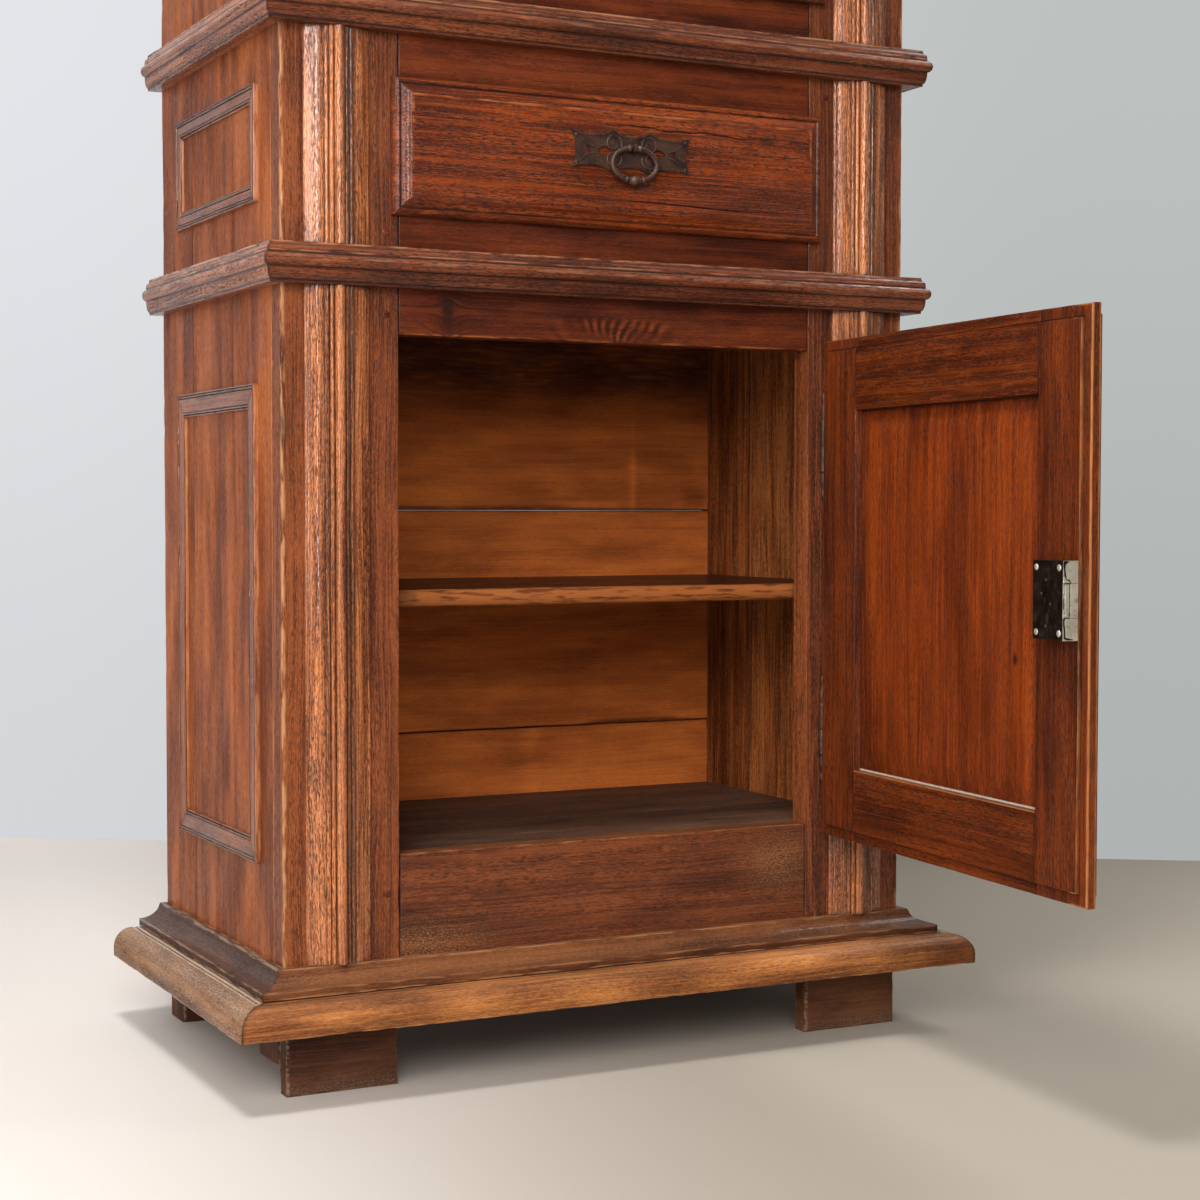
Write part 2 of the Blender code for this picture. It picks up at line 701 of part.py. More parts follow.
def door_leaf(z, spare):
    """Return the leaf that runs from the barrel's wall into the door's edge, or its slot."""
    half = LEAF_THICKNESS / 2 + spare
    start = DOOR_RIGHT if spare else -BARREL_RADIUS * 0.7
    low = (DOOR_RIGHT - LEAF_DEPTH - spare, -half, z + 2 * GAP - spare)
    return box(low, (start + spare, half, z + KNUCKLE_LENGTH + spare))


def post_leaf(z, spare):
    """Return the leaf that runs from the barrel's wall back into the post, or its slot."""
    half = LEAF_THICKNESS / 2 + spare
    start = AXIS_STANDOFF if spare else BARREL_RADIUS * 0.7
    low = (-half, start - spare, z - KNUCKLE_LENGTH - spare)
    return box(low, (half, AXIS_STANDOFF + LEAF_DEPTH + spare, z - 2 * GAP + spare))


def bolt_box(z, travel, spare):
    """Return the bolt where it rests, pushed out by its travel, or the space round it."""
    tip = DOOR_LEFT + LOCK_LIP + DOOR_CLEARANCE + FACE_GAP - travel
    back = DOOR_BACK + GAP + LOCK_DEPTH - BOLT_COVER
    low = (tip - spare, back - BOLT_THICKNESS - spare, z - BOLT_HEIGHT / 2 - spare)
    return low, (tip + BOLT_LENGTH + spare, back + spare, z + BOLT_HEIGHT / 2 + spare)


def lock(prefix, z, steel, carrier):
    """Make the lock case on the door's inner face and the bolt that slides in it."""
    edge = DOOR_LEFT + LOCK_LIP + DOOR_CLEARANCE + FACE_GAP
    low = (edge, DOOR_BACK + GAP, z - LOCK_HEIGHT / 2)
    high = (edge + LOCK_WIDTH, DOOR_BACK + GAP + LOCK_DEPTH, z + LOCK_HEIGHT / 2)
    case = piece(f"{prefix}_lock_case", box(low, high, LOCK_EDGE), steel, carrier)
    slot_low, slot_high = bolt_box(z, 0.0, GAP)
    combine(case, box((edge - LOCK_EDGE, *slot_low[1:]), slot_high), "DIFFERENCE")
    bolt_low, bolt_high = bolt_box(z, 0.0, 0.0)
    bolt_carrier = empty(f"{prefix}_bolt_slide", (edge, bolt_low[1], z), carrier)
    shape = moved(box(bolt_low, bolt_high, LOCK_EDGE), -bolt_carrier.location)
    piece(f"{prefix}_lock_bolt", shape, steel, bolt_carrier)


def door(prefix, opening_z, angle, split, surfaces, posts, root):
    """Make one door on its hinges, standing open by the angle, with its lock."""
    wood, iron, steel = surfaces
    bottom = opening_z - LOCK_LIP
    top = opening_z + DOOR_OPENING + LOCK_LIP
    axis = (AXIS_X, -AXIS_STANDOFF, 0.0)
    fixed = empty(f"{prefix}_hinge_axis", axis, root)
    carrier = empty(f"{prefix}_door_swing", axis, root)
    carrier.rotation_euler.z = angle

    x0, x1 = DOOR_LEFT + DOOR_STILE, DOOR_RIGHT - DOOR_STILE
    z0, z1 = bottom + DOOR_RAIL, top - DOOR_RAIL
    far = LIP_THICKNESS + FIELD_RISE + REBATE_DEPTH
    front, back = DOOR_BACK - 2 * far, DOOR_BACK + far
    if split:
        sticks = {
            "lock_stile": ((DOOR_LEFT - far, bottom - far), (x0, top + far)),
            "hinge_stile": ((x1, bottom - far), (DOOR_RIGHT + far, top + far)),
            "bottom_rail": ((x0 + GAP, bottom - far), (x1 - GAP, z0)),
            "top_rail": ((x0 + GAP, z1), (x1 - GAP, top + far)),
        }
        made = {}
        for name, (low, high) in sticks.items():
            stick = piece(f"{prefix}_door_{name}", door_blank(bottom, top), wood, carrier)
            combine(stick, box((low[0], front, low[1]), (high[0], back, high[1])), "INTERSECT")
            made[name] = stick
    else:
        frame = piece(f"{prefix}_door_frame", door_blank(bottom, top), wood, carrier)
        combine(frame, box((x0, front, z0), (x1, back, z1)), "DIFFERENCE")
        made = {"hinge_stile": frame}
    for stick in set(made.values()):
        combine(stick, panel_groove(x0, x1, z0, z1, GAP), "DIFFERENCE")
        combine(stick, panel_sticking(x0, x1, z0, z1), "DIFFERENCE")
    door_panel(f"{prefix}_door_panel", x0, x1, z0, z1, wood, carrier)

    centres = (bottom + HINGE_INSET, top - HINGE_INSET)
    hinge_halves(prefix, centres, iron, carrier, fixed)
    for z in centres:
        combine(made["hinge_stile"], door_leaf(z, GAP), "DIFFERENCE")
        slot = moved(post_leaf(z, GAP), axis)
        combine(posts["right_post"], slot, "DIFFERENCE")

    lock_z = (bottom + top) / 2 + LOCK_RISE
    lock(prefix, lock_z, steel, carrier)
    mortise = box(*bolt_box(lock_z, BOLT_THROW, BOLT_CLEARANCE))
    combine(posts["left_post"], moved(mortise, axis), "DIFFERENCE")


def drawer(surfaces, root):
    """Make the drawer: lipped front, two sides, back and a bottom nailed on from below."""
    face, lining, iron = surfaces
    carrier = empty("drawer_slide", (CASE_WIDTH / 2, 0.0, Z_DRAWER), root)
    half = (OPENING_RIGHT - OPENING_LEFT) / 2
    inner = half - DRAWER_PLAY
    low_z = GAP
    high_z = DRAWER_OPENING - DRAWER_HEADROOM
    shoulder_in = DRAWER_LIP + DRAWER_PLAY
    shoulder = (shoulder_in, shoulder_in, DRAWER_LIP + low_z, DRAWER_LIP + DRAWER_HEADROOM, DRAWER_SHOULDER)
    edges = (-half - DRAWER_LIP, half + DRAWER_LIP, -DRAWER_LIP, DRAWER_OPENING + DRAWER_LIP)
    piece("drawer_front", lipped_front(*edges, -FACE_GAP, shoulder), face, carrier)

    front = DRAWER_SHOULDER - FACE_GAP + GAP
    back = INSIDE_BACK - DRAWER_BACK_SPACE
    wall = low_z + DRAWER_BOTTOM + GAP
    inside = inner - DRAWER_SIDE
    boards = {
        "drawer_bottom": ((-inner, front, low_z), (inner, back, low_z + DRAWER_BOTTOM)),
        "drawer_left_side": ((-inner, front, wall), (-inside, back, high_z)),
        "drawer_right_side": ((inside, front, wall), (inner, back, high_z)),
        "drawer_back": ((-inside + GAP, back - DRAWER_SIDE, wall), (inside - GAP, back, high_z)),
    }
    for name, (low, high) in boards.items():
        piece(name, box(low, high), lining, carrier)
    ring_pull(iron, carrier)


def plate_outline():
    """Return the backplate's edge: humps above and below, flared lobes and hollow ends."""
    half_width = PLATE_WIDTH / 2
    steps = 26
    upper = []
    for i in range(steps + 1):
        x = half_width * (1 - 2 * i / steps)
        hump = HUMP_RISE * math.exp(-(((abs(x) - HUMP_PLACE) / HUMP_SPREAD) ** 2))
        lobe = LOBE_RISE * math.exp(-(((abs(x) - half_width) / LOBE_SPREAD) ** 2))
        upper.append((x, PLATE_HEIGHT / 2 + hump + lobe))
    corner = upper[0][1]
    right_end = []
    for i in range(1, 8):
        share = 1 - i / 4
        right_end.append((half_width - END_HOLLOW * (1 - share * share), -corner * share))
    lower = [(x, -z) for x, z in reversed(upper)]
    left_end = [(-x, -z) for x, z in right_end]
    return upper + left_end + lower + right_end


def ring_radius(run):
    """Return the ring's half thickness at a distance along it from the eye, or from its foot."""
    from_eye, from_foot = run
    if from_eye < EYE_THICKNESS:
        return RING_NECK
    if from_eye < 2.2 * EYE_THICKNESS:
        return RING_COLLAR
    if from_foot < RING_BOSS * 0.75:
        return RING_BOSS
    if RING_BOSS * 1.2 < from_foot < RING_BOSS * 1.7:
        return RING_COLLAR
    return RING_WIRE


def ring_pull(iron, carrier):
    """Make the pierced backplate with its eye, and the baluster ring that hangs in the eye."""
    plate_z = DRAWER_OPENING / 2 + HANDLE_RISE
    face = -FACE_GAP - LIP_THICKNESS - FIELD_RISE - GAP
    front = face - PLATE_THICKNESS
    outline = plate_outline()
    rings = [[(HANDLE_OFFSET + x, y, plate_z + z) for x, z in outline] for y in (face, front)]
    backplate = piece("handle_plate", loft(rings), iron, carrier)
    piercings = (
        (PIERCING_PLACE, PIERCING_WIDTH, PIERCING_HEIGHT),
        (-PIERCING_PLACE, PIERCING_WIDTH, PIERCING_HEIGHT),
        (SLIT_PLACE, SLIT_WIDTH, SLIT_HEIGHT),
        (-SLIT_PLACE, SLIT_WIDTH, SLIT_HEIGHT),
    )
    for x, width, height in piercings:
        hole = arc((HANDLE_OFFSET + x, plate_z), (width / 2, height / 2), 0, 360, 12)[:-1]
        rings = [[(hx, y, hz) for hx, hz in hole] for y in (face + PLATE_THICKNESS, front - PLATE_THICKNESS)]
        combine(backplate, loft(rings), "DIFFERENCE")

    axis_z = plate_z + EYE_DROP
    axis_y = front - RING_STANDOFF
    bore = RING_NECK + EYE_CLEARANCE
    eye_half = EYE_THICKNESS / 2
    outside = bore + EYE_WALL
    for outline, kind in (
        (arc((axis_y, axis_z), (outside, outside), 0, 360, 16)[:-1], "UNION"),
        (neck_outline(axis_y, axis_z, outside, face), "UNION"),
        (arc((axis_y, axis_z), (bore, bore), 0, 360, 16)[:-1], "DIFFERENCE"),
    ):
        reach = eye_half if kind == "UNION" else 2 * eye_half
        rings = [[(HANDLE_OFFSET + x, y, z) for y, z in outline] for x in (-reach, reach)]
        combine(backplate, loft(rings), kind)

    swing = empty("ring_pull_swing", (HANDLE_OFFSET, axis_y, axis_z), carrier)
    piece("ring_pull", baluster_ring(), iron, swing)


def neck_outline(axis_y, axis_z, outside, face):
    """Return the tapered neck between the eye and the plate, seen from its side as (y, z)."""
    return [
        (axis_y, axis_z - outside / 2),
        (face - PLATE_THICKNESS / 2, axis_z - outside),
        (face - PLATE_THICKNESS / 2, axis_z + outside),
        (axis_y, axis_z + outside / 2),
    ]


def baluster_ring():
    """Return an oval ring, thin in the eye, with collars beside it and a boss at its foot."""
    steps = 72
    sides = 10
    length = math.pi * (RING_HALF_WIDTH + RING_HALF_HEIGHT)
    rings = []
    for i in range(steps):
        angle = 2 * math.pi * i / steps
        share = min(i, steps - i) / steps
        radius = ring_radius((share * length, (0.5 - share) * length))
        centre = Vector((RING_HALF_WIDTH * math.sin(angle), 0, RING_HALF_HEIGHT * (math.cos(angle) - 1)))
        outwards = Vector((math.sin(angle) / RING_HALF_WIDTH, 0, math.cos(angle) / RING_HALF_HEIGHT)).normalized()
        turns = [2 * math.pi * k / sides for k in range(sides)]
        rings.append(
            [centre + radius * (math.cos(t) * outwards + math.sin(t) * Vector((0, 1, 0))) for t in turns]
        )
    return loft(rings, closed=True)


def centre_on_floor(root):
    """Shift the root so that the middle of the whole object's box stands over the origin."""
    bpy.context.view_layer.update()
    corners = [
        solid.matrix_world @ Vector(corner)
        for solid in bpy.data.objects
        if solid.type == "MESH"
        for corner in solid.bound_box
    ]
    for i in (0, 1):
        values = [corner[i] for corner in corners]
        root.location[i] -= (min(values) + max(values)) / 2
    bpy.context.view_layer.update()


def build():
    """Make every piece of the buffet."""
    clear_scene()
    oak = finish("waxed_oak", (0.20, 0.075, 0.030), 0.38)
    worn_oak = finish("worn_oak", (0.30, 0.135, 0.055), 0.48)
    inner_oak = finish("inner_oak", (0.33, 0.165, 0.070), 0.62)
    iron = finish("dark_iron", (0.055, 0.042, 0.036), 0.46, 0.85)
    steel = finish("lock_steel", (0.040, 0.034, 0.030), 0.36, 0.90)

    root = empty("buffet", (0.0, 0.0, 0.0))
    feet(worn_oak, root)
    mitred_run("plinth", plinth_outline(), worn_oak, root)
    posts = front_posts(oak, root)
    rails(oak, root)
    side_boards(oak, root)
    side_frames(oak, root)
    mitred_run("lower_waist", waist_outline(Z_WAIST_LOW), oak, root)
    mitred_run("upper_waist", waist_outline(Z_WAIST_HIGH), oak, root)
    cornice(oak, root)
    top_board(inner_oak, root)
    inner_boards(inner_oak, root)
    back_panel(inner_oak, root)
    door("lower", Z_LOWER_DOOR, LOWER_DOOR_ANGLE, True, (oak, iron, steel), posts, root)
    door("upper", Z_UPPER_DOOR, 0.0, False, (oak, iron, steel), posts, root)
    drawer((oak, inner_oak, iron), root)
    centre_on_floor(root)


build()
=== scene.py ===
"""Looks of a tall oak buffet: waxed and worn joinery, barrel hinges, box locks and a pierced iron handle.

Every piece of wood is a numpy surface that carries its own grain coordinates and masks for worn arrises,
dirty corners, tone and dust, and the oak finishes read those masks. On some pieces the tone, wear and dirt
masks also carry painted light and shade. Lengths are in metres, +Z is up and -Y is the front.
"""

import json
import logging
import math
from collections.abc import Callable, Sequence
from dataclasses import dataclass, field
from enum import Enum

import bpy
import numpy as np
from mathutils import Euler, Matrix, Vector

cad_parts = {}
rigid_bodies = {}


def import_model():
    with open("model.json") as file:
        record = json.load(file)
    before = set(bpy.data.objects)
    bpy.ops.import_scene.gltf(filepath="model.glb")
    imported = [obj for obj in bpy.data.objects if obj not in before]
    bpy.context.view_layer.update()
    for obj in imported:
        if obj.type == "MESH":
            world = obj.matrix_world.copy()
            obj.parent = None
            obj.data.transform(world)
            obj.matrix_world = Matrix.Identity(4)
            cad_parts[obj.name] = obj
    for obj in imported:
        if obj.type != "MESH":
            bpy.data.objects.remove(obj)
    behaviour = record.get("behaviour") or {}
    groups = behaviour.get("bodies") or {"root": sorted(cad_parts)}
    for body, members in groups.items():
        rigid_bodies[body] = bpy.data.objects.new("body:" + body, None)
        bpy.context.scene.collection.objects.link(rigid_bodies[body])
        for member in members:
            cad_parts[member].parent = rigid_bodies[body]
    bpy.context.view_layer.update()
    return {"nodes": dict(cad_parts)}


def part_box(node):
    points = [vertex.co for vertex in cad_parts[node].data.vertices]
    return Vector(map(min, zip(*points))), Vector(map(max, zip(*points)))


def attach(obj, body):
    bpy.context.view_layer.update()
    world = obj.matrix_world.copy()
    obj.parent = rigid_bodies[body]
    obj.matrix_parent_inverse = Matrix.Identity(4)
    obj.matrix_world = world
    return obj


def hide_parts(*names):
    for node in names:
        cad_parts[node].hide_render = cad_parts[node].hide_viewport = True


Array = np.ndarray
Colour = tuple[float, float, float]
Place = tuple[float, float, float]
Socket = bpy.types.NodeSocket
LOG = logging.getLogger("buffet")

HALF_WIDTH = 0.402
CASE_FRONT = 0.057853
CASE_BACK = 0.509853
HINGE_AXIS = (0.2865, 0.052853, 0.0)
LOWER_DOOR_ANGLE = math.radians(85)
PLINTH_TOP = 0.1436
STAGES = ((0.1436, 0.8836), (0.9276, 1.1616), (1.2056, 1.8856))
LOWER_OPENING = (0.2586, 0.8336)
UPPER_OPENING = (1.2606, 1.8356)
LOCK_RISE = 0.006
RING_AXIS = (0.012, 0.027553, 1.0541)
PLATE_CENTRE = (0.012, 0.035053, 1.0501)
SIDES = ("front", "left", "right")
GAP = 0.0003
CREASE = math.radians(38)
ARRIS = (0.0, 0.0003, 0.0008, 0.0015, 0.0025, 0.0045, 0.008)
CORNER_MARKS = (0.001, 0.0025, 0.005)
END_MARKS = (0.0008, 0.002, 0.004)
SIDE_SHARES = (0.15, 0.5, 0.85)
LEAST_STEP = 4e-5


class Axis(Enum):
    """A direction of the row frame."""

    X = 0
    Y = 1
    Z = 2


class Slot(Enum):
    """The record's material slots."""

    WAXED = "waxed_oak"
    WORN = "worn_oak"
    INNER = "inner_oak"
    IRON = "dark_iron"
    STEEL = "lock_steel"


class Body(Enum):
    """The CAD bodies that pieces ride on."""

    CASE = "case"
    LOWER_DOOR = "lower_door"
    UPPER_DOOR = "upper_door"
    DRAWER = "drawer"
    RING = "ring"


def tint(red: float, green: float, blue: float) -> Colour:
    """Return the linear colour of sRGB values from 0 to 255."""
    values = np.array((red, green, blue)) / 255
    linear = np.where(values <= 0.04045, values / 12.92, ((values + 0.055) / 1.055) ** 2.4)
    return tuple(float(v) for v in linear)


class Graph:
    """A node tree that is written as nested calls; each call returns an output socket."""

    def __init__(self, name: str, world: bool = False) -> None:
        """Start a material with a bare Principled shader, or a world with its Background."""
        self.owner = (bpy.data.worlds if world else bpy.data.materials).new(name)
        self.owner.use_nodes = True
        self.tree = self.owner.node_tree
        self.shader = self.tree.nodes["Background" if world else "Principled BSDF"]

    def node(self, kind: str, **settings: object) -> bpy.types.Node:
        """Add a node and set its options."""
        made = self.tree.nodes.new(kind)
        for key, value in settings.items():
            setattr(made, key, value)
        return made

    def feed(self, socket: Socket, value: object) -> None:
        """Link an output to a socket, or set a plain value on it."""
        if isinstance(value, Socket):
            self.tree.links.new(value, socket)
        elif isinstance(value, tuple) and socket.type == "RGBA":
            socket.default_value = (*value, 1.0)
        else:
            socket.default_value = value

    def attribute(self, name: str, output: str = "Fac") -> Socket:
        """Read a named attribute of the mesh."""
        return self.node("ShaderNodeAttribute", attribute_name=name).outputs[output]

    def place(self) -> Socket:
        """Read the object's own coordinates, in metres."""
        return self.node("ShaderNodeTexCoord").outputs["Object"]

    def scaled(self, vector: Socket, scale: Sequence[float]) -> Socket:
        """Stretch a vector along its three directions."""
        step = self.node("ShaderNodeVectorMath", operation="MULTIPLY")
        self.feed(step.inputs[0], vector)
        step.inputs[1].default_value = scale
        return step.outputs["Vector"]

    def shifted(self, vector: Socket, push: Socket, reach: Sequence[float]) -> Socket:
        """Add a colour, spread by a reach per direction, to a vector."""
        step = self.node("ShaderNodeVectorMath", operation="MULTIPLY_ADD")
        self.feed(step.inputs[0], push)
        step.inputs[1].default_value = reach
        self.feed(step.inputs[2], vector)
        return step.outputs["Vector"]

    def noise(
        self, vector: Socket, scale: Sequence[float], detail: float = 2.0, output: str = "Fac"
    ) -> Socket:
        """Return noise on a stretched vector.

        Args:
            vector: where the noise is read.
            scale: cells per metre along each direction of the vector.
            detail: how many finer layers are added.
            output: "Fac" for a value, "Color" for three.

        Returns:
            The noise output, from 0 to 1.
        """
        step = self.node("ShaderNodeTexNoise")
        self.feed(step.inputs["Vector"], self.scaled(vector, scale))
        step.inputs["Scale"].default_value = 1.0
        step.inputs["Detail"].default_value = detail
        return step.outputs[output]

    def span(self, value: Socket, low: float, high: float, start: float = 0.0, end: float = 1.0) -> Socket:
        """Ease a value from one range into another and clamp it there."""
        step = self.node("ShaderNodeMapRange", interpolation_type="SMOOTHSTEP")
        for socket, given in zip(step.inputs, (value, low, high, start, end)):
            self.feed(socket, given)
        return step.outputs["Result"]

    def calc(self, operation: str, *values: object) -> Socket:
        """Do one sum on values or outputs, clamped from 0 to 1."""
        step = self.node("ShaderNodeMath", operation=operation, use_clamp=True)
        for socket, given in zip(step.inputs, values):
            self.feed(socket, given)
        return step.outputs["Value"]

    def along(self, vector: Socket, direction: Sequence[float]) -> Socket:
        """Return how far a vector reaches in a direction."""
        step = self.node("ShaderNodeVectorMath", operation="DOT_PRODUCT")
        self.feed(step.inputs[0], vector)
        step.inputs[1].default_value = direction
        return step.outputs["Value"]

    def blend(self, amount: object, first: object, second: object) -> Socket:
        """Mix two colours by an amount."""
        step = self.node("ShaderNodeMix", data_type="RGBA", blend_type="MIX")
        self.feed(step.inputs[0], amount)
        self.feed(step.inputs[6], first)
        self.feed(step.inputs[7], second)
        return step.outputs[2]

    def fade(self, amount: Socket) -> None:
        """Let the camera, and nothing else, look through the surface by an amount."""
        seen = self.node("ShaderNodeLightPath").outputs["Is Camera Ray"]
        mixed = self.node("ShaderNodeMixShader")
        self.feed(mixed.inputs[0], self.calc("MULTIPLY", seen, amount))
        self.feed(mixed.inputs[1], self.shader.outputs["BSDF"])
        self.feed(mixed.inputs[2], self.node("ShaderNodeBsdfTransparent").outputs["BSDF"])
        self.feed(self.tree.nodes["Material Output"].inputs["Surface"], mixed.outputs["Shader"])

    def finish(self, sockets: dict[str, object], height: Socket, depth: float) -> bpy.types.Material:
        """Set the shader's sockets, add the relief and return the material.

        Args:
            sockets: values or outputs by the shader's socket names.
            height: relief from 0 to 1.
            depth: how deep the relief is, in metres.

        Returns:
            The finished material.
        """
        bump = self.node("ShaderNodeBump")
        bump.inputs["Strength"].default_value = 1.0
        bump.inputs["Distance"].default_value = depth
        self.feed(bump.inputs["Height"], height)
        for normal in ("Normal", "Coat Normal"):
            self.feed(self.shader.inputs[normal], bump.outputs["Normal"])
        for name, value in sockets.items():
            self.feed(self.shader.inputs[name], value)
        return self.owner


@dataclass(frozen=True)
class Finish:
    """A named finish for one of the record's slots."""

    name: str
    slot: Slot

    def material(self) -> bpy.types.Material:
        """Return the finish's material, made once."""
        return bpy.data.materials.get(self.name) or self.paint()

    def paint(self) -> bpy.types.Material:
        """Build the material, which each kind of finish does in its own way."""
        raise NotImplementedError


@dataclass(frozen=True)
class Oak(Finish):
    """An oak finish: its base colour, and how worn, porous, stained, speckled, dusty and glossy it is."""

    base: Colour
    worn: Colour
    contrast: float = 0.8
    pores: float = 0.75
    wear: float = 0.8
    stain: float = 0.45
    speckle: float = 0.0
    figure: float = 0.6
    rays: float = 0.0
    dusting: float = 0.0
    flake: float = 0.35
    gloss: float = 0.50
    coat: float = 0.35
    grime_and_shade: Colour = tint(34, 17, 10)
    dust: Colour = tint(150, 128, 108)
    relief: float = 0.0008

    def shade(self, factors: Colour) -> Colour:
        """Return the base colour with each channel scaled."""
        return tuple(channel * factor for channel, factor in zip(self.base, factors))

    def paint(self) -> bpy.types.Material:
        """Build the oak: bent grain, pores, blotches, stains, worn arrises, dirt in corners, dust, and
        painted light and shade.
        """
        g = Graph(self.name)
        wood = g.attribute("wood", "Vector")
        bent = g.shifted(wood, g.noise(wood, (2.6, 10, 10), 2, "Color"), (0.0, 0.020, 0.020))
        broad = g.noise(bent, (3.0, 15, 15), 4)
        blotch = g.noise(wood, (9.0, 30, 30), 3)
        streak = g.noise(bent, (2.0, 95, 95), 3)
        line = g.noise(bent, (6.0, 520, 520), 2)
        mottle = g.noise(bent, (260, 760, 760), 2)
        ring = g.noise(bent, (1.4, 120, 120), 2)
        pore = g.noise(bent, (120, 1050, 1050), 1)
        fleck = g.noise(bent, (170, 900, 900), 2)
        patch = g.noise(wood, (12, 36, 36), 6)
        chip = g.noise(wood, (30, 210, 210), 4)

        deep, pale = self.shade((0.30, 0.24, 0.24)), self.shade((1.62, 1.80, 1.70))
        level = g.calc("MULTIPLY_ADD", blotch, 0.4, g.calc("MULTIPLY", broad, 0.6))
        tone = g.blend(g.span(level, 0.52, 0.39, 0.0, self.contrast), self.base, deep)
        tone = g.blend(g.span(level, 0.50, 0.61, 0.0, self.contrast), tone, pale)
        lean = g.calc("MULTIPLY_ADD", blotch, 0.5, g.calc("SUBTRACT", g.attribute("tone"), 0.25))
        tone = g.blend(g.span(lean, 0.48, 0.08), tone, deep)
        tone = g.blend(g.span(lean, 0.52, 0.92), tone, pale)
        for grain, share in ((streak, 1.0), (line, 1.0), (mottle, 0.55)):
            tone = g.blend(g.span(grain, 0.52, 0.32, 0.0, self.figure * share), tone, deep)
            tone = g.blend(g.span(grain, 0.50, 0.70, 0.0, self.figure * share), tone, pale)
        ray = g.span(g.noise(bent, (34, 130, 130), 3), 0.54, 0.66, 0.0, self.rays)
        tone = g.blend(g.calc("MULTIPLY", ray, g.span(broad, 0.42, 0.58)), tone, pale)
        pitted = g.calc("MULTIPLY", g.span(pore, 0.50, 0.60), g.span(ring, 0.36, 0.56, 0.35, 1.0))
        specks = g.span(fleck, 0.60, 0.68)
        pitted = g.calc("MAXIMUM", pitted, g.calc("MULTIPLY", specks, 0.6))
        tone = g.blend(g.calc("MULTIPLY", pitted, self.pores), tone, self.grime_and_shade)
        tone = g.blend(g.span(patch, 0.62, 0.74, 0.0, self.stain), tone, self.grime_and_shade)
        golden = g.calc("MULTIPLY", g.span(fleck, 0.46, 0.36), g.span(patch, 0.44, 0.58, 1.0, 0.25))
        tone = g.blend(g.calc("MULTIPLY", golden, self.speckle), tone, self.worn)

        # the edge mask is mostly wear; it also carries a painted highlight line on the waists and painted
        # light in the jambs
        broken = g.span(chip, 0.34, 0.64, 1.0 - self.flake, 1.0)
        rubbed = g.calc("MULTIPLY", g.attribute("edge"), broken)
        tone = g.blend(g.calc("MULTIPLY", g.span(rubbed, 0.20, 0.80), self.wear), tone, self.worn)
        nick = g.calc("MULTIPLY", g.attribute("edge"), g.span(patch, 0.60, 0.66))
        tone = g.blend(g.calc("MULTIPLY", nick, self.stain), tone, self.grime_and_shade)
        # the grime mask holds dirt, and on some pieces painted shade: pilaster flanks, the inner back's top,
        # back joints
        dirt = g.calc("MULTIPLY", g.attribute("grime_and_shade"), g.span(chip, 0.25, 0.60, 0.55, 1.0))
        tone = g.blend(dirt, tone, self.grime_and_shade)
        grit = g.span(g.noise(wood, (340, 760, 760), 3), 0.50, 0.62, 0.12, 1.0)
        settled = g.calc("MULTIPLY", g.attribute("dust"), g.calc("MULTIPLY", grit, self.dusting))
        tone = g.blend(settled, tone, self.dust)

        rough = g.calc("MULTIPLY_ADD", g.span(patch, 0.35, 0.75), 0.16, self.gloss - 0.08)
        rough = g.calc("MULTIPLY_ADD", pitted, 0.25, rough)
        rough = g.calc("MULTIPLY_ADD", settled, 0.35, rough)
        waxed = g.calc("MULTIPLY", g.span(pitted, 0.0, 1.0, 1.0, 0.3), self.coat)
        relief = g.calc("MULTIPLY_ADD", pitted, -0.22, g.span(streak, 0.2, 0.8, 0.60, 0.72))
        relief = g.calc("MULTIPLY_ADD", g.span(patch, 0.55, 0.75), -0.20, relief)
        relief = g.calc("MULTIPLY_ADD", g.span(broad, 0.3, 0.7), 0.25, relief)
        sockets = {
            "Base Color": tone, "Roughness": rough, "Specular IOR Level": 0.2,
            "Coat Weight": waxed, "Coat Roughness": 0.09,
        }
        return g.finish(sockets, relief, self.relief)


@dataclass(frozen=True)
class Metal(Finish):
    """A metal finish: two base colours in blotches, rust or tarnish in spots, and a gloss."""

    base: Colour
    shade: Colour
    spot: Colour
    metallic: float = 0.9
    gloss: float = 0.42
    grain: float = 420.0
    depth: float = 0.0005

    def paint(self) -> bpy.types.Material:
        """Build the metal: hammered blotches, tarnish spots and fine pitting."""
        g = Graph(self.name)
        place = g.place()
        blotch = g.noise(place, (self.grain / 6,) * 3, 4)
        pit = g.noise(place, (self.grain * 2,) * 3, 3)
        rust = g.noise(place, (self.grain / 3,) * 3, 5)
        tone = g.blend(g.span(blotch, 0.36, 0.66), self.base, self.shade)
        tone = g.blend(g.span(rust, 0.54, 0.68, 0.0, 0.85), tone, self.spot)
        rough = g.calc("MULTIPLY_ADD", g.span(rust, 0.40, 0.70), 0.28, self.gloss - 0.08)
        relief = g.calc("MULTIPLY_ADD", g.span(pit, 0.3, 0.8), 0.35, g.span(blotch, 0.3, 0.7, 0.1, 0.6))
        sockets = {"Base Color": tone, "Roughness": rough, "Metallic": self.metallic}
        return g.finish(sockets, relief, self.depth)


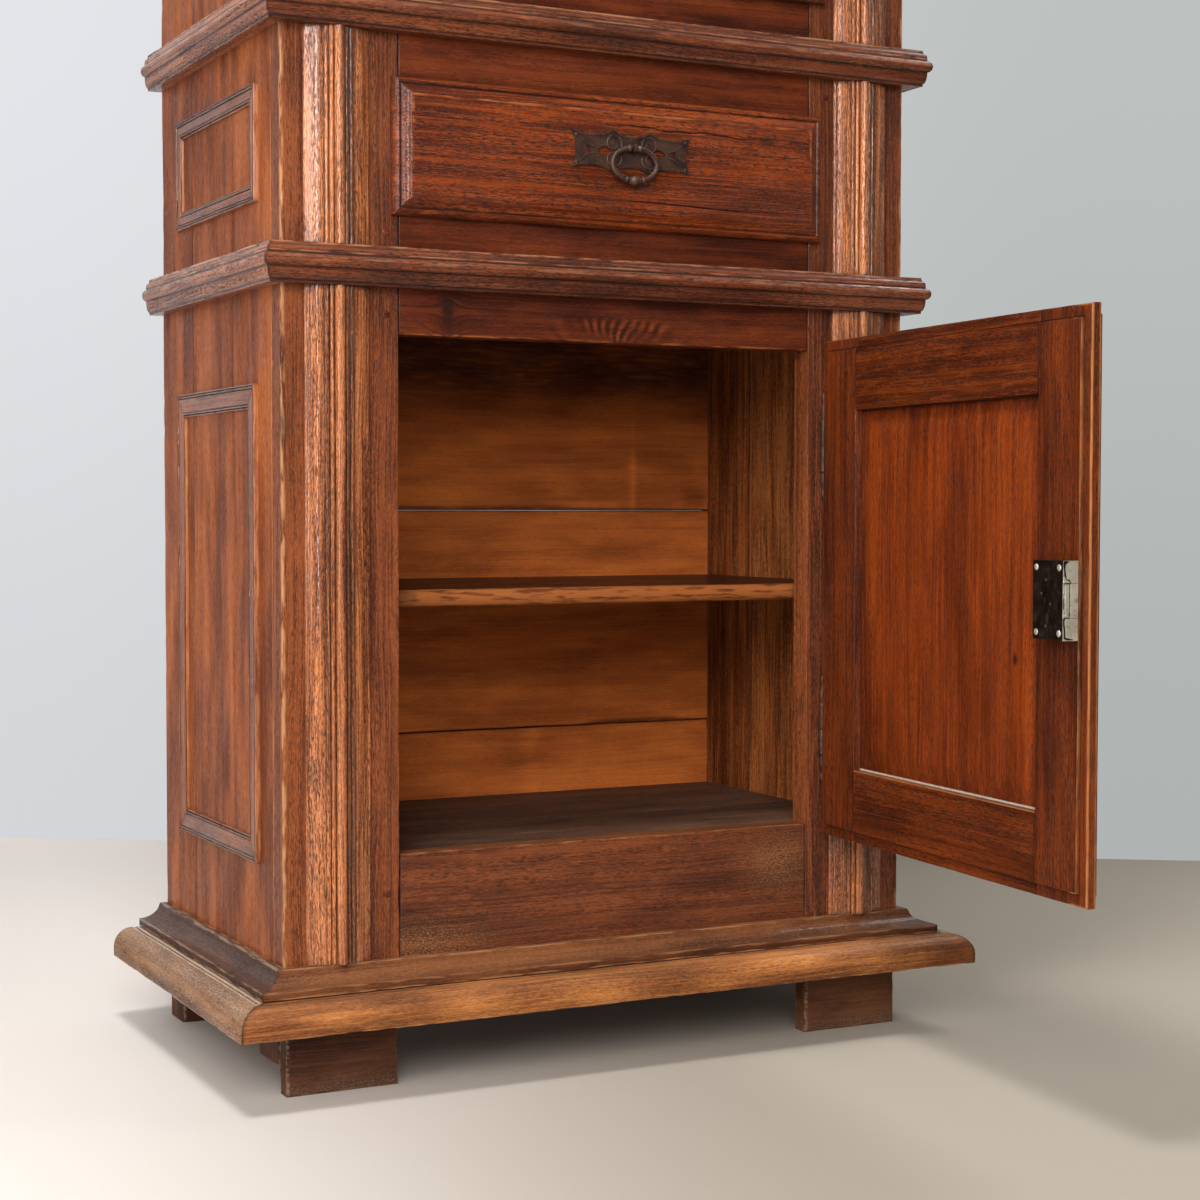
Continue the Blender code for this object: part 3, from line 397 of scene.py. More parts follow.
WAXED = Oak(
    "oak_waxed", Slot.WAXED, tint(124, 51, 14), tint(182, 104, 52),
    wear=0.55, coat=0.42, rays=0.5, pores=0.8, stain=0.3, contrast=0.8, figure=0.68, flake=0.8,
)
POST = Oak(
    "oak_post", Slot.WAXED, tint(178, 103, 60), tint(228, 176, 124),
    pores=0.72, stain=0.4, coat=0.9, contrast=0.7, flake=0.7, wear=0.7, figure=0.8,
)
STILE = Oak(
    "oak_stile", Slot.WAXED, tint(120, 59, 29), tint(200, 142, 94),
    pores=0.65, stain=0.5, coat=0.25, contrast=0.8, flake=0.95, wear=0.7, figure=0.62, speckle=0.08,
)
RAIL = Oak(
    "oak_rail", Slot.WAXED, tint(98, 40, 15), tint(172, 98, 52),
    wear=0.6, rays=0.5, pores=0.45, stain=0.2, coat=0.25, contrast=0.95, figure=0.36, flake=0.9,
)
LOW_RAIL = Oak(
    "oak_low_rail", Slot.WAXED, tint(110, 54, 26), tint(166, 110, 64),
    wear=0.4, stain=0.2, rays=0.6, flake=0.95, contrast=0.7, figure=0.42, pores=0.6, dusting=0.6,
    dust=tint(176, 128, 78),
)
WAIST = Oak(
    "oak_waist", Slot.WAXED, tint(114, 55, 28), tint(190, 128, 90),
    wear=0.6, stain=0.3, dusting=0.3, coat=0.9, flake=0.8, figure=0.55,
)
WAIST_SIDE = Oak(
    "oak_waist_side", Slot.WAXED, tint(164, 94, 56), tint(222, 160, 106),
    wear=0.7, stain=0.3, dusting=0.3, coat=0.8, flake=0.8, figure=0.7,
)
FRAME = Oak(
    "oak_side_frame", Slot.WAXED, tint(150, 80, 42), tint(206, 140, 94),
    pores=0.3, wear=0.35, stain=0.1, coat=0.9, figure=0.3, contrast=0.5, flake=0.9,
)
SIDE = Oak(
    "oak_side", Slot.WAXED, tint(154, 80, 37), tint(200, 130, 84),
    pores=0.35, wear=0.5, stain=0.15, coat=0.1, figure=0.20, contrast=0.75,
)
DOOR = Oak(
    "oak_door", Slot.WAXED, tint(104, 42, 10), tint(186, 118, 64),
    pores=0.75, wear=0.75, stain=0.15, figure=0.58, rays=0.5, contrast=0.8, coat=0.3, flake=0.45,
)
PANEL = Oak(
    "oak_panel", Slot.WAXED, tint(128, 51, 10), tint(226, 208, 186),
    pores=0.55, wear=1.0, stain=0.1, contrast=0.6, figure=0.44, coat=0.22, flake=0.2,
)
SWEEP = Oak(
    "oak_plinth_sweep", Slot.WORN, tint(110, 60, 31), tint(170, 116, 76),
    stain=0.2, dusting=0.6, coat=0.3, flake=0.8, pores=0.35, figure=0.3, dust=tint(158, 124, 92),
)
# a darker copy of the plinth sweep for the sides: painted shade against the left lamps' light
SHADED_SIDE_SWEEP = Oak(
    "oak_plinth_side_sweep_shaded", Slot.WORN, tint(72, 38, 23), tint(170, 136, 110),
    stain=0.2, dusting=0.7, flake=0.8, pores=0.25, figure=0.3, coat=0.25,
)
NOSE = Oak(
    "oak_plinth_board", Slot.WORN, tint(174, 106, 56), tint(222, 166, 108),
    stain=0.4, dusting=0.5, coat=0.1, pores=0.4, figure=0.36, contrast=0.8, flake=0.8,
)
NOSE_SIDE = Oak(
    "oak_plinth_side_board", Slot.WORN, tint(142, 96, 64), tint(222, 202, 178),
    wear=0.9, stain=0.35, speckle=0.3, dusting=0.9, dust=tint(206, 188, 166), coat=0.1, pores=0.4,
    figure=0.35, flake=0.4,
)
FOOT = Oak(
    "oak_foot", Slot.WORN, tint(92, 54, 34), tint(164, 126, 98),
    wear=0.6, stain=0.2, dusting=0.5, gloss=0.6, coat=0.0, pores=0.2, figure=0.22, flake=0.9,
)
INNER = Oak(
    "oak_inner", Slot.INNER, tint(198, 104, 44), tint(206, 140, 80),
    pores=0.15, wear=0.2, stain=0.15, gloss=0.6, coat=0.0, contrast=0.4, figure=0.14,
)
LINING = Oak(
    "oak_lining", Slot.INNER, tint(156, 86, 42), tint(214, 150, 90),
    pores=0.5, gloss=0.55, coat=0.0, figure=0.85, contrast=1.0,
)
FLOORING = Oak(
    "oak_floor", Slot.INNER, tint(90, 56, 38), tint(186, 160, 136),
    stain=0.3, dusting=0.5, gloss=0.6, coat=0.0, figure=0.3, pores=0.4,
)
SHELF = Oak(
    "oak_shelf", Slot.INNER, tint(82, 38, 19), tint(164, 94, 44),
    wear=0.9, stain=0.3, coat=0.2, pores=0.5, figure=0.45, flake=0.6,
)
IRON = Metal(
    "iron_dark", Slot.IRON, tint(78, 52, 40), tint(46, 30, 23),
    tint(84, 48, 30), metallic=0.35,
)
LOCK = Metal(
    "lock_plate", Slot.STEEL, tint(66, 58, 54), tint(40, 35, 33),
    tint(74, 56, 44), gloss=0.40, depth=0.0002,
)
STEEL = Metal(
    "lock_steel_bright", Slot.STEEL, tint(226, 220, 204), tint(196, 190, 170),
    tint(160, 146, 118), metallic=0.6, gloss=0.38, depth=0.0001,
)
SHADOW = Metal(
    "nail_hole", Slot.IRON, tint(14, 9, 7), tint(8, 6, 5),
    tint(22, 13, 9), metallic=0.0, gloss=0.8,
)


def waves(seed: int, points: Array, pitch: Sequence[float]) -> Array:
    """Return a smooth random height: the mean of twelve sine waves with seeded directions and phases.

    Args:
        seed: picks the waves.
        points: places, in the last axis, in metres.
        pitch: radians per metre along each direction.

    Returns:
        Heights of about -1 to 1, one for each place.
    """
    draw = np.random.default_rng(seed)
    turns = draw.normal(size=(12, points.shape[-1])) * np.asarray(pitch)
    phases = draw.uniform(0, 2 * np.pi, 12)
    return np.clip(np.sin(points @ turns.T + phases).mean(-1) * 2.2, -1, 1)


def hill(place: Array, middle: Array | float, spread: Array | float, power: int = 2) -> Array:
    """Return a bell of height 1: e to minus the distance from the middle over the spread, to a power."""
    return np.exp(-(((place - middle) / spread) ** power))


@dataclass(frozen=True)
class Ramp:
    """Values at increasing places, joined by straight lines."""

    places: tuple[float, ...]
    values: tuple[float, ...]

    def at(self, place: Array) -> Array:
        """Return the ramp's value at each place."""
        return np.interp(place, self.places, self.values)


def stations(start: float, end: float, step: float, marks: Sequence[float] = ()) -> Array:
    """Return increasing places from start to end: even steps, plus marks counted from both ends."""
    count = max(2, int(round((end - start) / step)) + 1)
    inset = np.array(marks)
    places = np.concatenate([np.linspace(start, end, count), start + inset, end - inset])
    places = np.unique(np.round(places[(places >= start) & (places <= end)], 6))
    return places[np.concatenate([[True], np.diff(places) > LEAST_STEP])]


def eased(distance: Array, radius: float) -> Array:
    """Return how far a rounded arris falls back, by the distance from the edge (a quarter circle)."""
    inside = np.clip(radius - distance, 0, radius)
    return radius - np.sqrt(radius**2 - inside**2)


def resampled(section: Array, step: float) -> Array:
    """Return a closed section with extra points along its long lines, close together near their ends."""
    rings = []
    for near, far in zip(section, np.roll(section, -1, axis=0)):
        length = float(np.hypot(*(far - near)))
        marks = CORNER_MARKS if length > 0.008 else ()
        share = stations(0.0, length, max(step, 1e-5), marks) / max(length, 1e-9)
        rings.append(near + share[:-1, None] * (far - near))
    return np.concatenate(rings)


def bends(section: Array) -> tuple[Array, Array]:
    """Return masks of a closed section's convex and hollow corners, spread a few millimetres along it."""
    ahead = np.roll(section, -1, axis=0) - section
    behind = np.roll(ahead, 1, axis=0)
    cross = behind[:, 0] * ahead[:, 1] - behind[:, 1] * ahead[:, 0]
    turn = np.arctan2(cross, (behind * ahead).sum(1))
    turn = turn * np.sign(turn.sum())
    steps = np.hypot(*ahead.T)
    run = np.concatenate([[0], np.cumsum(steps)[:-1]])
    apart = np.abs(run[:, None] - run[None, :])
    apart = np.minimum(apart, steps.sum() - apart)
    near = hill(apart, 0, 0.0011)
    sharp = np.clip(((np.clip(turn, 0, None)[None] * near).sum(1) - 0.40) / 0.8, 0, 1)
    deep = np.clip(((np.clip(-turn, 0, None)[None] * near).sum(1) - 0.30) / 0.6, 0, 1)
    convex = (sharp[None] * hill(apart, 0, 0.0026)).max(1)
    hollow = (deep[None] * hill(apart, 0, 0.0013)).max(1)
    return convex, hollow


@dataclass
class Skin:
    """A grid of points: rows along a piece, columns round its section, closed at the ends or as a ring."""

    points: Array
    wood: Array
    edge: Array
    grime_and_shade: Array
    ring: bool = False
    tone: Array | None = None
    dust: Array | None = None

    def __post_init__(self) -> None:
        """Start with an even tone (0 is dark, 0.5 neutral and 1 pale) and no dust."""
        if self.tone is None:
            self.tone = np.full(self.points.shape[:2], 0.5)
        if self.dust is None:
            self.dust = np.zeros(self.points.shape[:2])

    def corners(self) -> Array:
        """Return the four point numbers of each grid face."""
        rows, columns = self.points.shape[:2]
        index = np.arange(rows * columns).reshape(rows, columns)
        if self.ring:
            index = np.concatenate([index, index[:1]])
        side = np.roll(index, -1, axis=1)
        quads = np.stack([index[:-1], side[:-1], side[1:], index[1:]], -1)
        return quads.reshape(-1, 4)

    def outward(self) -> float:
        """Return 1 if the grid faces run anticlockwise seen from outside, else -1 (by signed volume)."""
        flat = self.points.reshape(-1, 3) - self.points.reshape(-1, 3).mean(0)
        a, b, c, d = (flat[column] for column in self.corners().T)
        volume = (a * np.cross(b, c)).sum() + (a * np.cross(c, d)).sum()
        return 1.0 if volume > 0 else -1.0

    def normals(self) -> Array:
        """Return outward directions: the cross product of the grid's two slopes."""
        along = np.gradient(self.points, axis=0)
        wide = np.concatenate([self.points[:, -1:], self.points, self.points[:, :1]], axis=1)
        across = wide[:, 2:] - wide[:, :-2]
        normal = np.cross(across, along)
        return self.outward() * normal / np.maximum(np.linalg.norm(normal, axis=-1, keepdims=True), 1e-12)

    def weathered(self, seed: int, wave: float = 0.0003, chips: float = 0.0012) -> "Skin":
        """Move the points inwards: slow waves everywhere, and chips bitten out of worn arrises.

        Args:
            seed: picks the waves.
            wave: how deep the slow waves go, in metres.
            chips: how deep the chips go, in metres.

        Returns:
            The same skin, changed.
        """
        slow = waves(seed, self.wood, (9, 30, 30)) * 0.5 + 0.5
        bites = np.clip(waves(seed + 1, self.wood, (150, 160, 160)) - 0.30, 0, 1)
        long_bites = np.clip(waves(seed + 2, self.wood, (28, 60, 60)) - 0.3, 0, 1)
        depth = wave * slow + chips * self.edge * (bites + long_bites)
        self.points = self.points - self.normals() * depth[..., None]
        return self

    def settled(self) -> Array:
        """Return the dust, with what lies on upper faces."""
        return np.maximum(self.dust, np.clip(self.normals()[..., 2] * 0.8 - 0.15, 0, 0.5))

    def add_grime_and_shade(self, amount: Array) -> None:
        """Raise the skin's grime mask to at least an amount; callers lay dirt with it, and painted shade in
        some places.
        """
        self.grime_and_shade = np.maximum(self.grime_and_shade, amount)

    def add_wear_and_highlight(self, amount: Array) -> None:
        """Raise the skin's wear mask to at least an amount; callers lay wear with it, and a painted highlight
        line on the waists.
        """
        self.edge = np.maximum(self.edge, amount)

    def turned(self, angle: float, origin: Sequence[float]) -> "Skin":
        """Turn the points about +Z and carry their origin to a place."""
        cos, sin = math.cos(angle), math.sin(angle)
        spin = np.array(((cos, -sin, 0), (sin, cos, 0), (0, 0, 1)))
        self.points = self.points @ spin.T + np.asarray(origin)
        return self


def prism(
    start: Array, end: Array, section: Array, seed: int, step: float = 0.008, ends: float = 0.6
) -> Skin:
    """Return a skin between two rings: each point runs straight from the start ring to the end ring.

    Args:
        start: points of the first ring.
        end: matching points of the last ring.
        section: the ring in the plane, which gives the masks and the grain across.
        seed: shifts the grain.
        step: distance between rows.
        ends: how dirty the two end rings are, from 0 to 1.

    Returns:
        The skin, with the grain along the run.
    """
    run = (end - start).mean(0)
    length = float(np.linalg.norm(run))
    share = stations(0.0, length, step, END_MARKS) / length
    points = start + share[:, None, None] * (end - start)
    along = (points - start.mean(0)) @ (run / length)
    flat = np.broadcast_to(section, (len(share), *section.shape))
    offset = np.random.default_rng(seed).uniform(0, 1.5, 3)
    wood = np.concatenate([along[..., None], flat], -1) + offset
    edge, grime_and_shade = bends(section)
    tip = ends * hill(np.minimum(share, 1 - share) * length, 0, 0.003)
    edge = np.broadcast_to(edge, points.shape[:2]).copy()
    return Skin(points, wood, edge, np.maximum(grime_and_shade[None, :], tip[:, None]))


Field = Callable[[Array, Array], Array]


@dataclass
class Slab:
    """A board as two height fields, one for each face, over places along and across its grain.

    Both faces take the masks of wear and dirt, and the two long sides take a share of the wear.
    """

    along: Array
    across: Array
    low: Field
    high: Field
    axes: tuple[Axis, Axis, Axis]
    mask: Field
    crevice: Field | None = None
    side: float = 0.0

    def skin(self, seed: int) -> Skin:
        """Return the board's skin: each row goes up one face and down the other.

        Args:
            seed: shifts the grain.

        Returns:
            The skin, with the grain along the first axis.
        """
        u, v = np.meshgrid(self.along, self.across, indexing="ij")
        low, high = self.low(u, v), self.high(u, v)
        share = np.array(SIDE_SHARES)
        ends = (slice(0, 1), slice(-1, None))
        near, far = (np.broadcast_to(v[:, end], (len(u), len(share))) for end in ends)
        loop_v = np.concatenate([v, far, v[:, ::-1], near], 1)
        loop_u = np.broadcast_to(u[:, :1], loop_v.shape)
        right = low[:, -1:] + share * (high - low)[:, -1:]
        left = high[:, :1] - share * (high - low)[:, :1]
        height = np.concatenate([low, right, high[:, ::-1], left], 1)
        edge = self.mask(u, v)
        grime_and_shade = self.crevice(u, v) if self.crevice else np.zeros_like(u)
        first, last = (np.broadcast_to(self.side * edge[:, end], near.shape) for end in ends)
        bare = np.zeros_like(first)
        edge = np.concatenate([edge, last, edge[:, ::-1], first], 1)
        grime_and_shade = np.concatenate([grime_and_shade, bare, grime_and_shade[:, ::-1], bare], 1)
        place = self.ended(np.stack([loop_u, loop_v, height], -1))
        order = np.argsort([axis.value for axis in self.axes])
        offset = np.random.default_rng(seed).uniform(0, 1.5, 3)
        edge, grime_and_shade = (np.pad(mask, ((1, 1), (0, 0)), constant_values=0) for mask in (edge, grime_and_shade))
        return Skin(place[..., order], place + offset, edge, grime_and_shade)

    @staticmethod
    def ended(place: Array) -> Array:
        """Return the rows with one more at each end, drawn in on the end face."""
        ends = place[[0, -1]]
        middle = (ends.max(1, keepdims=True) + ends.min(1, keepdims=True)) / 2
        reach = np.maximum(np.abs(ends - middle).max(1, keepdims=True), 1e-6)
        drawn = middle + (ends - middle) * (1 - np.minimum(0.003 / reach, 0.4))
        drawn[..., 0] = ends[..., 0]
        return np.concatenate([drawn[:1], place, drawn[1:]])


def rim_distance(u: Array, v: Array, box: Sequence[float]) -> Array:
    """Return the distance inwards from the nearest edge of a rectangle (u0, u1, v0, v1)."""
    return np.minimum(np.minimum(u - box[0], box[1] - u), np.minimum(v - box[2], box[3] - v))


@dataclass(frozen=True)
class Knot:
    """A knot in a board: its place along and across the grain, and its half length and half width."""

    u: float
    v: float
    long: float
    wide: float

    def places(self) -> tuple[Array, Array]:
        """Return close places along and across the grain round the knot."""
        near = np.linspace(-3, 3, 25)
        return self.u + near * self.long, self.v + near * self.wide

    def away(self, u: Array, v: Array) -> Array:
        """Return the squared distance from the knot's middle, 1 at its outline."""
        return ((u - self.u) / self.long) ** 2 + ((v - self.v) / self.wide) ** 2

    def grow(self, skin: Skin, u: Array, v: Array) -> None:
        """Darken the skin at the knot and bend the grain round it, fading with the distance."""
        away = self.away(u, v)
        skin.add_grime_and_shade(hill(away, 0, 1))
        skin.tone = skin.tone - 0.35 * np.exp(-away / 3)
        skin.wood[..., 1] -= 0.8 * (v - self.v) * np.exp(-away / 4)


def board(
    low: Sequence[float],
    high: Sequence[float],
    grain: Axis,
    face: Axis,
    seed: int,
    ease: float = 0.0018,
    step: float = 0.012,
    butted: float = 0.0,
    knots: Sequence[Knot] = (),
) -> Skin:
    """Return a plain board with rounded arrises.

    Args:
        low: lowest corner.
        high: highest corner.
        grain: direction of the grain.
        face: direction across the thickness.
        seed: shifts the grain and the wear.
        ease: radius of the arrises.
        step: distance between rows.
        butted: how dirty its ends are where they meet other pieces, from 0 to 1; such ends aren't rubbed.
        knots: knots in the board.

    Returns:
        The weathered skin.
    """
    side = next(axis for axis in Axis if axis not in (grain, face))
    u, v, w = grain.value, side.value, face.value
    box = (low[u], high[u], low[v], high[v])
    along, across = stations(box[0], box[1], step, ARRIS), stations(box[2], box[3], step, ARRIS)
    for knot in knots:
        near_u, near_v = knot.places()
        along = np.union1d(along, near_u[(near_u > box[0]) & (near_u < box[1])])
        across = np.union1d(across, near_v[(near_v > box[2]) & (near_v < box[3])])
    slab = Slab(
        along,
        across,
        lambda a, b: low[w] + eased(rim_distance(a, b, box), ease),
        lambda a, b: high[w] - eased(rim_distance(a, b, box), ease),
        (grain, side, face),
        lambda a, b: hill(rim_distance(a, b, box), 0, 0.0030),
    )
    skin = slab.skin(seed)
    if butted:
        place = skin.points[..., u]
        inset = np.minimum(place - box[0], box[1] - place)
        skin.edge *= inset > 0.006
        skin.add_grime_and_shade(butted * hill(inset, 0, 0.0016))
    for knot in knots:
        knot.grow(skin, skin.points[..., u], skin.points[..., v])
    return skin.weathered(seed + 50)


def planks(
    low: Sequence[float],
    high: Sequence[float],
    grain: Axis,
    face: Axis,
    joints: Sequence[float],
    seed: int,
    step: float = 0.012,
    seam: float = 1.0,
) -> list[Skin]:
    """Return boards laid side by side, with an eased joint between each two.

    Args:
        low: lowest corner of them all.
        high: highest corner.
        grain: direction of the grain.
        face: direction across the thickness.
        joints: places of the joints, across the grain.
        seed: shifts the grain and the wear.
        step: distance between rows.
        seam: how dark the joints are, from 0 to 1.

    Returns:
        One skin for each board.
    """
    side = next(axis for axis in Axis if axis not in (grain, face)).value
    stops = [low[side], *joints, high[side]]
    made = []
    for number, (start, end) in enumerate(zip(stops, stops[1:])):
        near, far = list(low), list(high)
        near[side], far[side] = start, end
        skin = board(near, far, grain, face, seed + 7 * number, 0.0014, step)
        place = skin.points[..., side]
        seams = [stop for stop in (start, end) if stop not in (low[side], high[side])]
        for stop in seams:
            beside = np.abs(place - stop)
            skin.edge *= beside > 0.004
            skin.add_grime_and_shade(seam * hill(beside, 0, 0.0016))
        made.append(skin)
    return made


def lathe(profile: Array, centre: Sequence[float], axis: Axis, sides: int = 24) -> Skin:
    """Return a turned skin: (radius, place along the axis) points swept round an axis through the centre."""
    angle = np.linspace(0, 2 * np.pi, sides, endpoint=False)
    radius, place = profile[:, :1], np.broadcast_to(profile[:, 1:], (len(profile), sides))
    local = np.stack([radius * np.cos(angle), radius * np.sin(angle), place], -1)
    order = {Axis.X: (2, 0, 1), Axis.Y: (1, 2, 0), Axis.Z: (0, 1, 2)}[axis]
    points = local[..., list(order)] + np.asarray(centre)
    flat = np.zeros(points.shape[:2])
    return Skin(points, points.copy(), flat, flat.copy())


def tube(path: Array, radius: Array, plane: Sequence[float], ring: bool = False, sides: int = 16) -> Skin:
    """Return a round wire along a flat path: circles spanned by the plane's normal and the path's own side.

    Args:
        path: points in one plane.
        radius: half thickness at each point.
        plane: the plane's unit normal.
        ring: whether the path closes on itself.
        sides: points round the wire.

    Returns:
        The wire's skin.
    """
    ahead = np.roll(path, -1, 0) - np.roll(path, 1, 0) if ring else np.gradient(path, axis=0)
    normal = np.asarray(plane, float)
    out = np.cross(ahead, normal)
    out /= np.linalg.norm(out, axis=1, keepdims=True)
    turn = np.linspace(0, 2 * np.pi, sides, endpoint=False)[None, :, None]
    points = path[:, None] + radius[:, None, None] * (np.cos(turn) * out[:, None] + np.sin(turn) * normal)
    flat = np.zeros(points.shape[:2])
    return Skin(points, points.copy(), flat, flat.copy(), ring)


def arc(centre: Sequence[float], radii: Sequence[float], start: float, end: float, steps: int) -> Array:
    """Return points on an elliptical arc between two angles in degrees, both ends included."""
    angle = np.radians(np.linspace(start, end, steps + 1))
    return np.stack([centre[0] + radii[0] * np.cos(angle), centre[1] + radii[1] * np.sin(angle)], -1)


def dome(centre: Sequence[float], radius: float, rise: float, axis: Axis, towards: int) -> Skin:
    """Return a shallow round head: a quarter ellipse turned about an axis, with a short shank behind it."""
    curve = arc((0, 0), (radius, rise), 0, 88, 7)
    profile = np.concatenate([[(radius * 0.9, -rise)], curve])
    profile[:, 1] *= towards
    return lathe(profile, centre, axis, 18)


@dataclass
class Maker:
    """Turns skins into named objects that ride on CAD bodies."""

    made: list[str] = field(default_factory=list)

    def piece(
        self, name: str, skins: Sequence[Skin], finish: Finish, body: Body, nodes: Sequence[str] = ()
    ) -> bpy.types.Object:
        """Make one object from its skins, set it on its CAD body and hide the CAD nodes that it stands for.

        Args:
            name: the piece's name.
            skins: the surfaces that it is made of.
            finish: its finish.
            body: the CAD body that it rides on.
            nodes: the CAD nodes that it stands for.

        Returns:
            The new object.
        """
        mesh = bpy.data.meshes.new(name)
        faces: list[list[int]] = []
        first = 0
        for skin in skins:
            rows, columns = skin.points.shape[:2]
            quads = skin.corners() + first
            start = np.arange(columns) + first
            last = start + (rows - 1) * columns
            caps = [] if skin.ring else [start[::-1].tolist(), last.tolist()]
            if skin.outward() < 0:
                quads = quads[:, ::-1]
                caps = [cap[::-1] for cap in caps]
            faces += quads.tolist() + caps
            first += rows * columns
        mesh.from_pydata(np.concatenate([s.points.reshape(-1, 3) for s in skins]).tolist(), [], faces)
        self.attribute(mesh, "wood", np.concatenate([s.wood.reshape(-1, 3) for s in skins]))
        for mask in ("edge", "grime_and_shade", "tone"):
            self.attribute(mesh, mask, np.concatenate([getattr(s, mask).ravel() for s in skins]))
        self.attribute(mesh, "dust", np.concatenate([s.settled().ravel() for s in skins]))
        mesh.materials.append(finish.material())
        mesh.shade_smooth()
        mesh.set_sharp_from_angle(angle=CREASE)
        made = bpy.data.objects.new(name, mesh)
        bpy.context.scene.collection.objects.link(made)
        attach(made, body.value)
        if nodes:
            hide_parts(*nodes)
        self.made.append(name)
        LOG.info("%s: %d faces on %s", name, len(faces), body.value)
        return made

    @staticmethod
    def attribute(mesh: bpy.types.Mesh, name: str, values: Array) -> None:
        """Store a value or vector for each point."""
        kind, key = ("FLOAT_VECTOR", "vector") if values.ndim == 2 else ("FLOAT", "value")
        mesh.attributes.new(name, kind, "POINT").data.foreach_set(key, values.astype(np.float32).ravel())

    def paint(self, node: bpy.types.Object, finish: Finish) -> None:
        """Give a CAD node that stays in view a finish."""
        node.data.materials.clear()
        node.data.materials.append(finish.material())
        LOG.info("%s: painted %s", node.name, finish.name)


def placed(section: Array, x: Array | float, y: Array | float, z: Array | float) -> Array:
    """Return a ring of points from three coordinates, each a number or one value for each section point."""
    count = len(section)
    return np.stack([np.broadcast_to(np.asarray(c, float), count) for c in (x, y, z)], -1)


